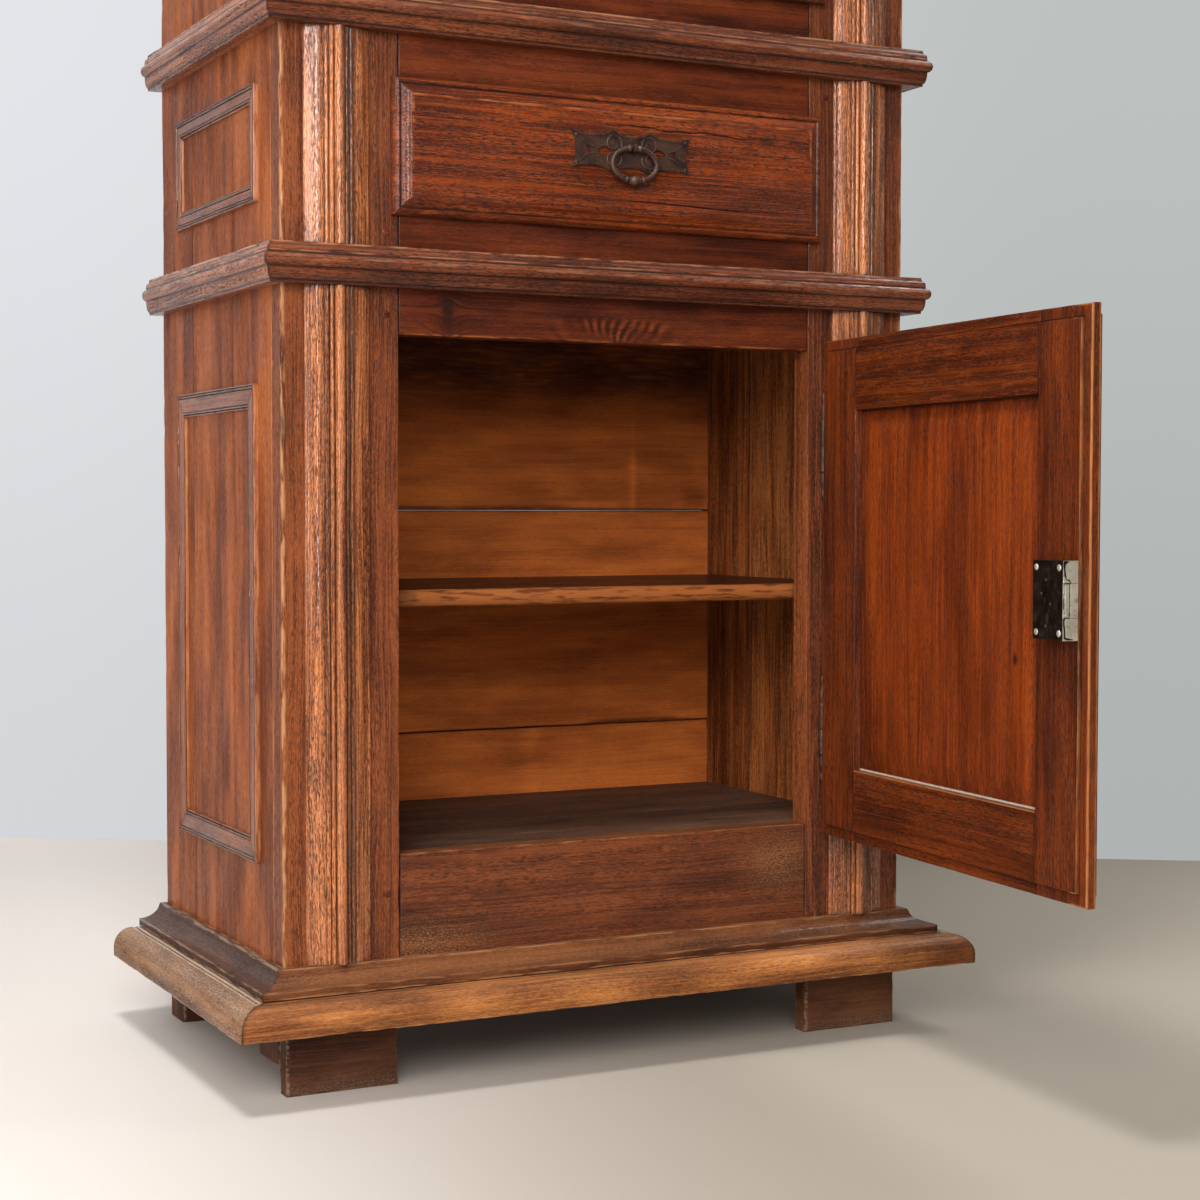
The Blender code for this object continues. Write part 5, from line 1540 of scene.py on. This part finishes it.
@dataclass
class Drawer:
    """The drawer: lipped and fielded front, lining boards, and the iron handle.

    The ramps give the front's tone and the strength of its two splits by x.
    """

    maker: Maker
    nodes: dict[str, bpy.types.Object]
    lip_back: float = CASE_FRONT - 0.0005
    knot: Knot = Knot(0.1965, 1.0765, 0.0085, 0.0045)
    front_tones: Ramp = Ramp((-0.26, -0.20, -0.15, -0.05, 0.12, 0.24), (0.14, 0.20, 0.44, 0.62, 0.54, 0.32))
    upper_split: Ramp = Ramp((-0.03, 0.01, 0.16, 0.21), (0.0, 1.0, 1.0, 0.0))
    lower_split: Ramp = Ramp((-0.02, 0.03, 0.14, 0.24), (0.0, 1.0, 1.0, 0.0))

    def build(self) -> None:
        """Make the boards and dress the handle."""
        low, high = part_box("drawer_front")
        near = (low[0] + 0.013, self.lip_back - 0.001, low[2] + 0.0103)
        block = board(near, (high[0] - 0.013, high[1], high[2] - 0.016), Axis.X, Axis.Y, 905)
        front = self.front((low[0], high[0], low[2], high[2]))
        self.maker.piece("drawer_front_board", [front, block], WAXED, Body.DRAWER, ["drawer_front"])
        sides = {
            "left_side": (Axis.Y, Axis.X),
            "right_side": (Axis.Y, Axis.X),
            "back": (Axis.X, Axis.Y),
            "bottom": (Axis.X, Axis.Z),
        }
        for number, (name, (grain, face)) in enumerate(sides.items()):
            node = f"drawer_{name}"
            skin = board(*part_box(node), grain, face, 910 + 6 * number, 0.0008)
            self.maker.piece(f"{node}_board", [skin], INNER, Body.DRAWER, [node])
        self.maker.paint(self.nodes["handle_plate"], IRON)
        self.maker.piece("handle_plate_relief", self.relief(), IRON, Body.DRAWER)
        self.ring()

    def front(self, box: Sequence[float]) -> Skin:
        """Return the front: a lip, a quarter round, a quirk and an ogee up to a split and knotty field.

        Args:
            box: the front's rectangle (x0, x1, z0, z1).

        Returns:
            The weathered skin.
        """

        def crack(u: Array, v: Array) -> Array:
            """Return the splits in the front: two narrow valleys along the grain, fading at their ends."""
            bent = 0.0011 * np.sin(u * 70) + 0.0006 * np.sin(u * 190)
            upper = v - (box[3] - 0.0345 + bent - 0.012 * u)
            lower = v - (box[2] + 0.030 + 0.0015 * np.sin(u * 23 + 1))
            one = hill(upper, 0, 0.0006) * self.upper_split.at(u)
            two = hill(lower, 0, 0.0005) * self.lower_split.at(u)
            return np.clip(one + two, 0, 1)

        def rubbed(u: Array, v: Array) -> Array:
            """Return the worn lines of the front: its edge and the field's arris, most of all above."""
            d = rim_distance(u, v, box)
            above = 0.5 + 0.5 * (v > box[3] - 0.05)
            return np.clip(0.5 * hill(d, 0, 0.003) + above * hill(d, 0.020, 0.0014), 0, 1)

        def dirty(u: Array, v: Array) -> Array:
            """Return the dirt of the front: the quirk behind the lip's round, the splits and the knot."""
            quirk = hill(rim_distance(u, v, box), 0.0082, 0.0011)
            return np.clip(0.9 * quirk + crack(u, v) + 0.75 * hill(self.knot.away(u, v), 0, 1), 0, 1)

        upper = np.arange(box[3] - 0.042, box[3] - 0.026, 0.0004)
        lower = np.arange(box[2] + 0.027, box[2] + 0.033, 0.0004)
        slab = Slab(
            stations(box[0], box[1], 0.005, LIP_MARKS),
            np.union1d(stations(box[2], box[3], 0.006, LIP_MARKS), np.concatenate([upper, lower])),
            lambda u, v: self.lip_back - lipped(rim_distance(u, v, box)) + 0.0015 * crack(u, v),
            lambda u, v: np.full_like(u, self.lip_back),
            (Axis.X, Axis.Z, Axis.Y),
            rubbed,
            dirty,
        )
        skin = slab.skin(900).weathered(900, 0.0004, 0.0012)
        skin.tone = self.front_tones.at(skin.points[..., 0])
        return skin

    @staticmethod
    def relief() -> list[Skin]:
        """Return the backplate's raised work: a rim along its outline, scrolls, curls and nails."""
        centre, normal = np.array(PLATE_CENTRE), (0, 1, 0)
        x = 0.074 * np.linspace(-1, 1, 90)
        hump = 0.006 * hill(np.abs(x), 0.024, 0.009) + 0.0032 * hill(np.abs(x), 0.075, 0.007)
        rim = np.stack([x, 0 * x, 0.0162 + hump], -1)
        skins = [tube(rim * (1, 1, sign) + centre, np.full(90, 0.0008), normal, sides=8) for sign in (1, -1)]
        turn = np.linspace(0, 1, 60)
        angle = np.radians(200 - 470 * turn)
        reach = 0.0105 * (1 - 0.72 * turn**1.3)
        scroll = np.stack([0.0235 + reach * np.cos(angle), 0 * turn, 0.0085 + reach * np.sin(angle)], -1)
        curl = np.stack([0.047 + 0.020 * turn, 0 * turn, 0.0035 + 0.0105 * turn**2], -1)
        nail = np.array((0.0705, 0, 0.0155))
        for mirror in [(side, 1, sign) for side in (1, -1) for sign in (1, -1)]:
            skins.append(tube(scroll * mirror + centre, 0.0012 - 0.0006 * turn, normal, sides=8))
            skins.append(tube(curl * mirror + centre, 0.0010 - 0.0004 * turn, normal, sides=8))
            skins.append(dome(nail * mirror + centre, 0.0026, 0.0014, Axis.Y, -1))
        return skins

    def ring(self) -> None:
        """Make the baluster ring: an oval wire, thin in the eye, with collars and a boss at its foot."""
        steps, half_width, half_height = 240, 0.0285, 0.0187
        angle = np.linspace(0, 2 * np.pi, steps, endpoint=False)
        length = math.pi * (half_width + half_height)
        share = np.minimum(angle, 2 * np.pi - angle) / (2 * np.pi)
        eye, foot = share * length, (0.5 - share) * length
        radius = 0.0031 - 0.0010 * hill(eye, 0, 0.0030, 4)
        radius += 0.0013 * hill(eye, 0.0058, 0.0016, 4) + 0.0030 * hill(foot, 0, 0.0042)
        radius += 0.0012 * hill(foot, 0.0090, 0.0013, 4)
        path = np.stack([half_width * np.sin(angle), 0 * angle, half_height * (np.cos(angle) - 1)], -1)
        skin = tube(path + np.array(RING_AXIS), radius, (0, 1, 0), ring=True, sides=20)
        self.maker.piece("ring_pull_iron", [skin], IRON, Body.RING, ["ring_pull"])


VASE = (
    (1.00, 0.00), (1.06, 0.04), (1.06, 0.13), (0.62, 0.18), (0.80, 0.26), (1.00, 0.38), (0.90, 0.50),
    (0.62, 0.60), (0.48, 0.66), (0.48, 0.70), (0.72, 0.75), (0.80, 0.82), (0.72, 0.90), (0.50, 0.96),
    (0.12, 1.0),
)


@dataclass
class Door:
    """A framed door with a fielded panel, barrel hinges and a box lock on its inner face.

    Places on the door are counted from the hinge axis, with the door shut.
    """

    maker: Maker
    nodes: dict[str, bpy.types.Object]
    prefix: str
    body: Body
    opening: tuple[float, float]
    angle: float
    seed: int
    left: float = -0.5635
    right: float = -0.005
    stile: float = 0.088
    rail: float = 0.086
    lip_back: float = 0.0045
    back: float = 0.008
    lap: float = 0.011
    rebate: float = 0.0128
    rounding: float = 0.008
    hinge_inset: float = 0.126
    panel_tones: Ramp = Ramp((0.0, 0.02, 0.06, 0.12), (0.30, 0.38, 0.50, 0.54))

    def build(self) -> None:
        """Make the sticks and the panel, hang them and fit the metalwork."""
        bottom, top = self.opening[0] - self.lap, self.opening[1] + self.lap
        x0, x1 = self.left + self.stile, self.right - self.stile
        z0, z1 = bottom + self.rail, top - self.rail
        whole = (self.left, self.right, bottom, top)
        hole = (x0, x1, z0, z1)
        sticks = {
            "lock_stile": self.stick((self.left, x0, bottom, top), whole, hole, Axis.Z, 0),
            "hinge_stile": self.stick((x1, self.right, bottom, top), whole, hole, Axis.Z, 5, 0.12),
            "bottom_rail": self.stick((x0 + GAP, x1 - GAP, bottom, z0), whole, hole, Axis.X, 10, 0.8),
            "top_rail": self.stick((x0 + GAP, x1 - GAP, z1, top), whole, hole, Axis.X, 15),
        }
        sticks["top_rail"].tone -= 0.28
        sticks["bottom_rail"].tone += 0.14
        if f"{self.prefix}_door_frame" in self.nodes:
            node = f"{self.prefix}_door_frame"
            self.maker.piece(f"{node}_sticks", list(sticks.values()), DOOR, self.body, [node])
        else:
            for name, skin in sticks.items():
                node = f"{self.prefix}_door_{name}"
                self.maker.piece(f"{node}_stick", [skin], DOOR, self.body, [node])
        node = f"{self.prefix}_door_panel"
        self.maker.piece(f"{node}_board", [self.panel(hole)], PANEL, self.body, [node])
        for place, z in (("lower", bottom + self.hinge_inset), ("upper", top - self.hinge_inset)):
            self.hinge(place, z)
        self.dress_lock((bottom + top) / 2 + LOCK_RISE)

    def stick(
        self,
        box: Sequence[float],
        whole: Sequence[float],
        hole: Sequence[float],
        grain: Axis,
        step: int,
        ledge: float = 0.0,
    ) -> Skin:
        """Return one stile or rail: lipped outside, rounded towards the panel, rebated behind.

        Args:
            box: the stick's own rectangle (x0, x1, z0, z1).
            whole: the whole door's rectangle.
            hole: the panel's opening.
            grain: direction of the stick's grain.
            step: added to the seed.
            ledge: how pale the arris beside the panel is, from 0 to 1.

        Returns:
            The skin in its place on the case.
        """
        upright = grain is Axis.Z

        def split(u: Array, v: Array) -> tuple[Array, Array]:
            """Return x and z from the places along and across the grain."""
            return (v, u) if upright else (u, v)

        def beside(u: Array, v: Array) -> Array:
            """Return the distance from the panel's opening."""
            return np.clip(-rim_distance(*split(u, v), hole), 0, 1)

        def front(u: Array, v: Array) -> Array:
            """Return the front face: the stepped lip, less the quarter round at the opening."""
            d = rim_distance(*split(u, v), whole)
            return self.lip_back - stepped(d) + eased(beside(u, v), self.rounding)

        def behind(u: Array, v: Array) -> Array:
            """Return the back face: flat, stepped forward over the lip, its arrises rounded."""
            rim = (whole[0], whole[1] - 0.0045, whole[2], whole[3])
            d = rim_distance(*split(u, v), rim)
            within = np.clip(d - self.rebate, 0, 1)
            raised = np.clip((d - self.rebate) / 0.0004, 0, 1)
            ease = eased(within, 0.001) * (d > self.rebate) + eased(beside(u, v), 0.0012)
            outer = eased(np.clip(d, 0, 1), 0.0015)
            return self.lip_back + (self.back - self.lip_back) * raised - ease - outer

        def rubbed(u: Array, v: Array) -> Array:
            """Return the worn lines: the outer edge, the rebate's arris and the arris beside the panel."""
            x, z = split(u, v)
            d = rim_distance(x, z, whole)
            free = np.where(x < self.left + 0.03, 1.0, 0.4)
            rim = free * (hill(d, 0, 0.0026) + 0.85 * hill(d, 0.0137, 0.0010))
            return np.clip(rim + 2 * ledge * hill(beside(u, v), 0, 0.0008) * (d > 0.03), 0, 1)

        def dirty(u: Array, v: Array) -> Array:
            """Return the dirt: along the joints and at the rebate's foot."""
            d = rim_distance(*split(u, v), whole)
            own = rim_distance(*split(u, v), box)
            joint = hill(own, 0, 0.0008) * (d > 0.002) * (beside(u, v) > 0.0008)
            return np.clip(0.7 * joint + 0.6 * hill(d, 0.0122, 0.0008), 0, 1)

        x = stations(box[0], box[1], 0.008, STEP_MARKS)
        z = stations(box[2], box[3], 0.008, STEP_MARKS)
        axes = (Axis.Z, Axis.X, Axis.Y) if upright else (Axis.X, Axis.Z, Axis.Y)
        slab = Slab(z if upright else x, x if upright else z, front, behind, axes, rubbed, dirty, 0.3)
        skin = slab.skin(self.seed + step)
        # painted light: the strip along the lock stile's free edge is made paler
        skin.tone += 0.3 * (skin.points[..., 0] < self.left + 0.0122)
        return skin.weathered(self.seed + step, 0.0003, 0.0010).turned(self.angle, HINGE_AXIS)

    def panel(self, hole: Sequence[float]) -> Skin:
        """Return the panel: a raised field with a bevel in front, and a shallow bevel behind."""
        reach, wide, narrow = 0.0065, 0.038, 0.026
        box = (hole[0] - reach, hole[1] + reach, hole[2] - reach, hole[3] + reach)
        tongue = self.back - 0.009

        def front(u: Array, v: Array) -> Array:
            """Return the front face: a bevel of 38 mm and a 2 mm step up to the field."""
            d = rim_distance(v, u, box) - reach
            bevel = 0.0045 * np.clip(d / wide, 0, 1)
            raised = 0.002 * np.clip((d - wide) / 0.0006, 0, 1)
            return tongue - 0.006 - bevel - raised

        def behind(u: Array, v: Array) -> Array:
            """Return the back face: a bevel of 26 mm up to the flat."""
            d = rim_distance(v, u, box) - reach
            return tongue + 0.003 * np.clip(d / narrow, 0, 1)

        def rubbed(u: Array, v: Array) -> Array:
            """Return the bright line of dust along the lower edge."""
            return hill(u, hole[2] + 0.0012, 0.0014)

        def dirty(u: Array, v: Array) -> Array:
            """Return the dirt along the edges, but for the line of dust."""
            d = rim_distance(v, u, box) - reach
            return 0.8 * hill(d, 0, 0.0022) * (1 - rubbed(u, v))

        marks = (0.0, *(reach + d for d in (0.0, 0.0005, 0.0012, 0.002, 0.0035, narrow, wide, wide + 0.0006)))
        knot = Knot((hole[2] + hole[3]) / 2 - 0.060, hole[0] + 0.047, 0.006, 0.004)
        near_z, near_x = knot.places()
        z = np.union1d(stations(box[2], box[3], 0.010, marks), near_z)
        x = np.union1d(stations(box[0], box[1], 0.010, marks), near_x)
        slab = Slab(z, x, front, behind, (Axis.Z, Axis.X, Axis.Y), rubbed, dirty)
        skin = slab.skin(self.seed + 20)
        inner = rim_distance(skin.points[..., 0], skin.points[..., 2], hole)
        skin.tone = self.panel_tones.at(inner)
        knot.grow(skin, skin.points[..., 2], skin.points[..., 0])
        skin.weathered(self.seed + 20, 0.0004, 0.0)
        return skin.turned(self.angle, HINGE_AXIS)

    def hinge(self, place: str, z: float) -> None:
        """Make a hinge's two halves: a knuckle each, with a vase and a ball at its end.

        Args:
            place: "lower" or "upper".
            z: the height where the two knuckles meet.
        """
        barrel, knuckle, length = 0.0045, 0.0255, 0.040
        vase = np.array(VASE) * (barrel, length) + (0.0, knuckle)
        foot = [(barrel * 0.3, GAP), (barrel * 0.94, GAP), (barrel, 0.0010), (barrel, knuckle - 0.0002)]
        for half, sign, body in (("door_half", 1, self.body), ("post_half", -1, Body.CASE)):
            profile = np.concatenate([foot, vase]) * (1, sign) + (0.0, z)
            node = f"{self.prefix}_{place}_hinge_{half}"
            self.maker.piece(f"{node}_turned", [lathe(profile, HINGE_AXIS, Axis.Z)], IRON, body, [node])

    def dress_lock(self, z: float) -> None:
        """Paint the lock and add its screws, pins, keyhole and forend round a height."""
        self.maker.paint(self.nodes[f"{self.prefix}_lock_case"], LOCK)
        self.maker.paint(self.nodes[f"{self.prefix}_lock_bolt"], STEEL)
        edge, face, behind = self.left + 0.0135, self.back + 0.0183, self.back + 0.0002

        def heads(places: Sequence[tuple[float, float]], radius: float, rise: float) -> list[Skin]:
            """Return round heads on the lock's face at (x from its edge, height from its middle) places."""
            domes = [dome((edge + x, face, z + up), radius, rise, Axis.Y, 1) for x, up in places]
            return [skin.turned(self.angle, HINGE_AXIS) for skin in domes]

        screws = heads([(x, up) for x in (0.0065, 0.0465) for up in (-0.0325, 0.0325)], 0.0034, 0.0012)
        self.maker.piece(f"{self.prefix}_lock_screws", screws, STEEL, self.body)
        pins = heads(((0.030, 0.020), (0.022, -0.004), (0.038, 0.006), (0.030, -0.026)), 0.0017, 0.0008)
        self.maker.piece(f"{self.prefix}_lock_pins", pins, IRON, self.body)
        rounds = ((-0.016, 0.0028), (-0.0196, 0.0017), (-0.0222, 0.0015))
        keyhole = [skin for up, radius in rounds for skin in heads([(0.027, up)], radius, 0.0002)]
        self.maker.piece(f"{self.prefix}_lock_keyhole", keyhole, SHADOW, self.body)
        half, hole = 0.0398, 0.0172
        plates = (
            (behind, face, -half, -hole),
            (behind, face, hole, half),
            (behind, face - 0.0085, -hole, hole),
            (face - 0.0020, face, -hole, hole),
        )
        forend = []
        for number, (y0, y1, down, up) in enumerate(plates):
            near, far = (edge - 0.0004, y0, z + down), (edge + 0.0006, y1, z + up)
            plate = board(near, far, Axis.Z, Axis.X, 40 + number, 0.0002)
            forend.append(plate.turned(self.angle, HINGE_AXIS))
        self.maker.piece(f"{self.prefix}_lock_forend", forend, STEEL, self.body)


@dataclass
class Fastenings:
    """Pegs of the joints, at (x, height), and the nail holes left in the jamb, at (depth, height)."""

    maker: Maker
    pegs: tuple[tuple[float, float], ...] = (
        (-0.2805, 0.945), (0.2885, 1.1396), (-0.2805, 0.855), (0.2885, 0.855), (-0.2805, 0.215),
    )
    holes: tuple[tuple[float, float], ...] = (
        (0.013, 0.7116), (0.012, 0.6976), (0.015, 0.3686), (0.014, 0.3566),
    )
    jamb: float = HALF_WIDTH - 0.136

    def build(self) -> None:
        """Make the pegs and the holes."""
        pegs = [dome((x, CASE_FRONT, z), 0.0042, 0.0008, Axis.Y, -1) for x, z in self.pegs]
        self.maker.piece("frame_pegs", pegs, RAIL, Body.CASE)
        holes = [dome((self.jamb, CASE_FRONT + y, z), 0.0015, 0.0002, Axis.X, -1) for y, z in self.holes]
        self.maker.piece("jamb_nail_holes", holes, SHADOW, Body.CASE)


@dataclass(frozen=True)
class Lamp:
    """A soft, oblong lamp: where it hangs, the point it is turned to, its two sides and its power."""

    name: str
    place: Place
    aim: Place
    size: tuple[float, float]
    power: float

    def hang(self) -> None:
        """Add the lamp to the scene."""
        light = bpy.data.lights.new(self.name, "AREA")
        light.shape = "RECTANGLE"
        light.size, light.size_y = self.size
        light.energy = self.power
        made = bpy.data.objects.new(self.name, light)
        made.location = self.place
        direction = Vector(self.aim) - made.location
        made.rotation_euler = direction.to_track_quat("-Z", "Y").to_euler()
        bpy.context.scene.collection.objects.link(made)


LAMPS = (
    Lamp("top", (-0.85, -0.45, 3.1), (-0.3, 0.0, 0.0), (0.6, 0.6), 45),
    Lamp("front", (-1.9, -3.3, 2.3), (0.1, 0.2, 0.6), (2.4, 2.0), 125),
    Lamp("gloss", (-1.42, -3.3, 1.15), (-0.36, 0.05, 0.8), (0.20, 1.7), 14),
    Lamp("right", (1.70, 0.05, 2.3), (1.0, 0.3, 0.0), (0.9, 0.9), 18),
    Lamp("left", (-2.6, -1.2, 1.3), (-0.2, 0.1, 0.8), (0.2, 1.9), 30),
)


@dataclass
class Studio:
    """The pale floor and backdrop, the soft lights and the camera.

    The wall behind the object only throws light back. The camera doesn't see it, and looks at the world's
    pale backdrop instead, so that no view of the object is hidden by it. Each pair of colours passes from the
    left to the right of the camera's view, paler to darker, as painted light and shade.
    """

    # painted light and shade: each pair runs from a paler left to a darker right
    floor_lit_to_shaded: tuple[Colour, Colour] = (tint(243, 235, 227), tint(182, 171, 156))
    wall_lit_to_shaded: tuple[Colour, Colour] = (tint(221, 225, 233), tint(198, 206, 206))
    backdrop_lit_to_shaded: tuple[Colour, Colour] = (tint(228, 230, 233), tint(189, 194, 193))
    room_light: Colour = (1.0, 0.98, 0.95)
    room_strength: float = 0.05
    to_right: Place = (0.89, -0.455, 0.0)
    wall_foot: tuple[float, float] = (-0.275, 2.132)
    wall_run: tuple[float, float] = (0.8305, -0.5571)
    wall_half: float = 8
    wall_height: float = 7
    floor_depth: float = 12
    middle: Place = (0.0, 0.28, 0.0)
    fade_reach: tuple[float, float] = (1.95, 2.9)
    camera_place: Place = (-1.1711, -2.200147, 0.6404)
    camera_tilt: float = 87.6614
    camera_turn: float = -27.0825
    camera_roll: float = 0.075
    camera_lens: float = 65.73
    camera_sensor: float = 36.0

    def build(self) -> None:
        """Make the room, the lights and the camera."""
        foot, run = np.array(self.wall_foot), np.array(self.wall_run)
        forward = self.floor_depth * np.array((run[1], -run[0]))
        near, far = foot - self.wall_half * run, foot + self.wall_half * run
        floor = [(*(near + forward), 0), (*(far + forward), 0), (*far, 0), (*near, 0)]
        self.plane("studio_floor", floor, self.floor_lit_to_shaded)
        upright = [(*near, 0), (*far, 0), (*far, self.wall_height), (*near, self.wall_height)]
        wall = self.plane("studio_wall", upright, self.wall_lit_to_shaded)
        wall.visible_camera = False
        for lamp in LAMPS:
            lamp.hang()
        self.world()
        bpy.context.scene.view_settings.view_transform = "Standard"
        self.camera()

    def world(self) -> None:
        """Light the room faintly, and show the camera a backdrop that darkens to the right and downwards, as
        painted shade.
        """
        g = Graph("soft_room", world=True)
        look = g.node("ShaderNodeTexCoord").outputs["Generated"]
        seen = g.node("ShaderNodeLightPath").outputs["Is Camera Ray"]
        # painted shade: the backdrop darkens to the right, and towards black below
        tone = g.blend(g.span(g.along(look, self.to_right), -0.27, 0.22), *self.backdrop_lit_to_shaded)
        low = g.span(g.along(look, (0.0, 0.0, 1.0)), 0.24, -0.16, 0.0, 0.155)
        tone = g.blend(low, tone, (0.0, 0.0, 0.0))
        g.feed(g.shader.inputs["Color"], g.blend(seen, self.room_light, tone))
        strength = g.calc("MULTIPLY_ADD", seen, 1 - self.room_strength, self.room_strength)
        g.feed(g.shader.inputs["Strength"], strength)
        bpy.context.scene.world = g.owner

    def plane(
        self, name: str, corners: Sequence[Sequence[float]], colours: tuple[Colour, Colour]
    ) -> bpy.types.Object:
        """Make one flat, matt surface of the room.

        Args:
            name: the surface's name.
            corners: its four corners, seen from the room anticlockwise.
            colours: its colours at the left and the right of the view, paler to darker, as painted light and
                shade.

        Returns:
            The surface, which fades into the backdrop far from the object.
        """
        mesh = bpy.data.meshes.new(name)
        mesh.from_pydata(corners, [], [(0, 1, 2, 3)])
        g = Graph(name)
        # painted light and shade: the colour passes from the paler left to the darker right
        tone = g.blend(g.span(g.along(g.place(), self.to_right), -0.80, 0.25), *colours)
        grain = g.noise(g.place(), (160, 160, 160), 2)
        apart = g.node("ShaderNodeVectorMath", operation="DISTANCE")
        g.feed(apart.inputs[0], g.place())
        apart.inputs[1].default_value = self.middle
        g.fade(g.span(apart.outputs["Value"], *self.fade_reach))
        mesh.materials.append(g.finish({"Base Color": tone, "Roughness": 0.85}, grain, 0.0002))
        made = bpy.data.objects.new(name, mesh)
        bpy.context.scene.collection.objects.link(made)
        return made

    def camera(self) -> None:
        """Set the camera at the photograph's view."""
        lens = bpy.data.cameras.new("camera")
        lens.sensor_width = self.camera_sensor
        lens.lens = self.camera_lens
        made = bpy.data.objects.new("camera", lens)
        made.location = self.camera_place
        tilt, turn, roll = (math.radians(a) for a in (self.camera_tilt, self.camera_turn, self.camera_roll))
        level = Euler((tilt, 0.0, turn)).to_matrix()
        made.rotation_euler = (level @ Matrix.Rotation(roll, 3, "Z")).to_euler()
        bpy.context.scene.collection.objects.link(made)
        bpy.context.scene.camera = made


def clear_scene() -> None:
    """Remove every object that the file starts with."""
    for old in list(bpy.data.objects):
        bpy.data.objects.remove(old, do_unlink=True)


def main() -> None:
    """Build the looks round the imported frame."""
    logging.basicConfig(level=logging.INFO, format="%(name)s: %(message)s")
    clear_scene()
    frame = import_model()
    nodes = frame["nodes"]
    maker = Maker()
    Mouldings(maker).build()
    Posts(maker).build()
    Carcase(maker).build()
    Drawer(maker, nodes).build()
    Door(maker, nodes, "lower", Body.LOWER_DOOR, LOWER_OPENING, LOWER_DOOR_ANGLE, 1000).build()
    Door(maker, nodes, "upper", Body.UPPER_DOOR, UPPER_OPENING, 0.0, 1100).build()
    Fastenings(maker).build()
    Studio().build()
    LOG.info("%d pieces made", len(maker.made))


if __name__ == "__main__":
    main()
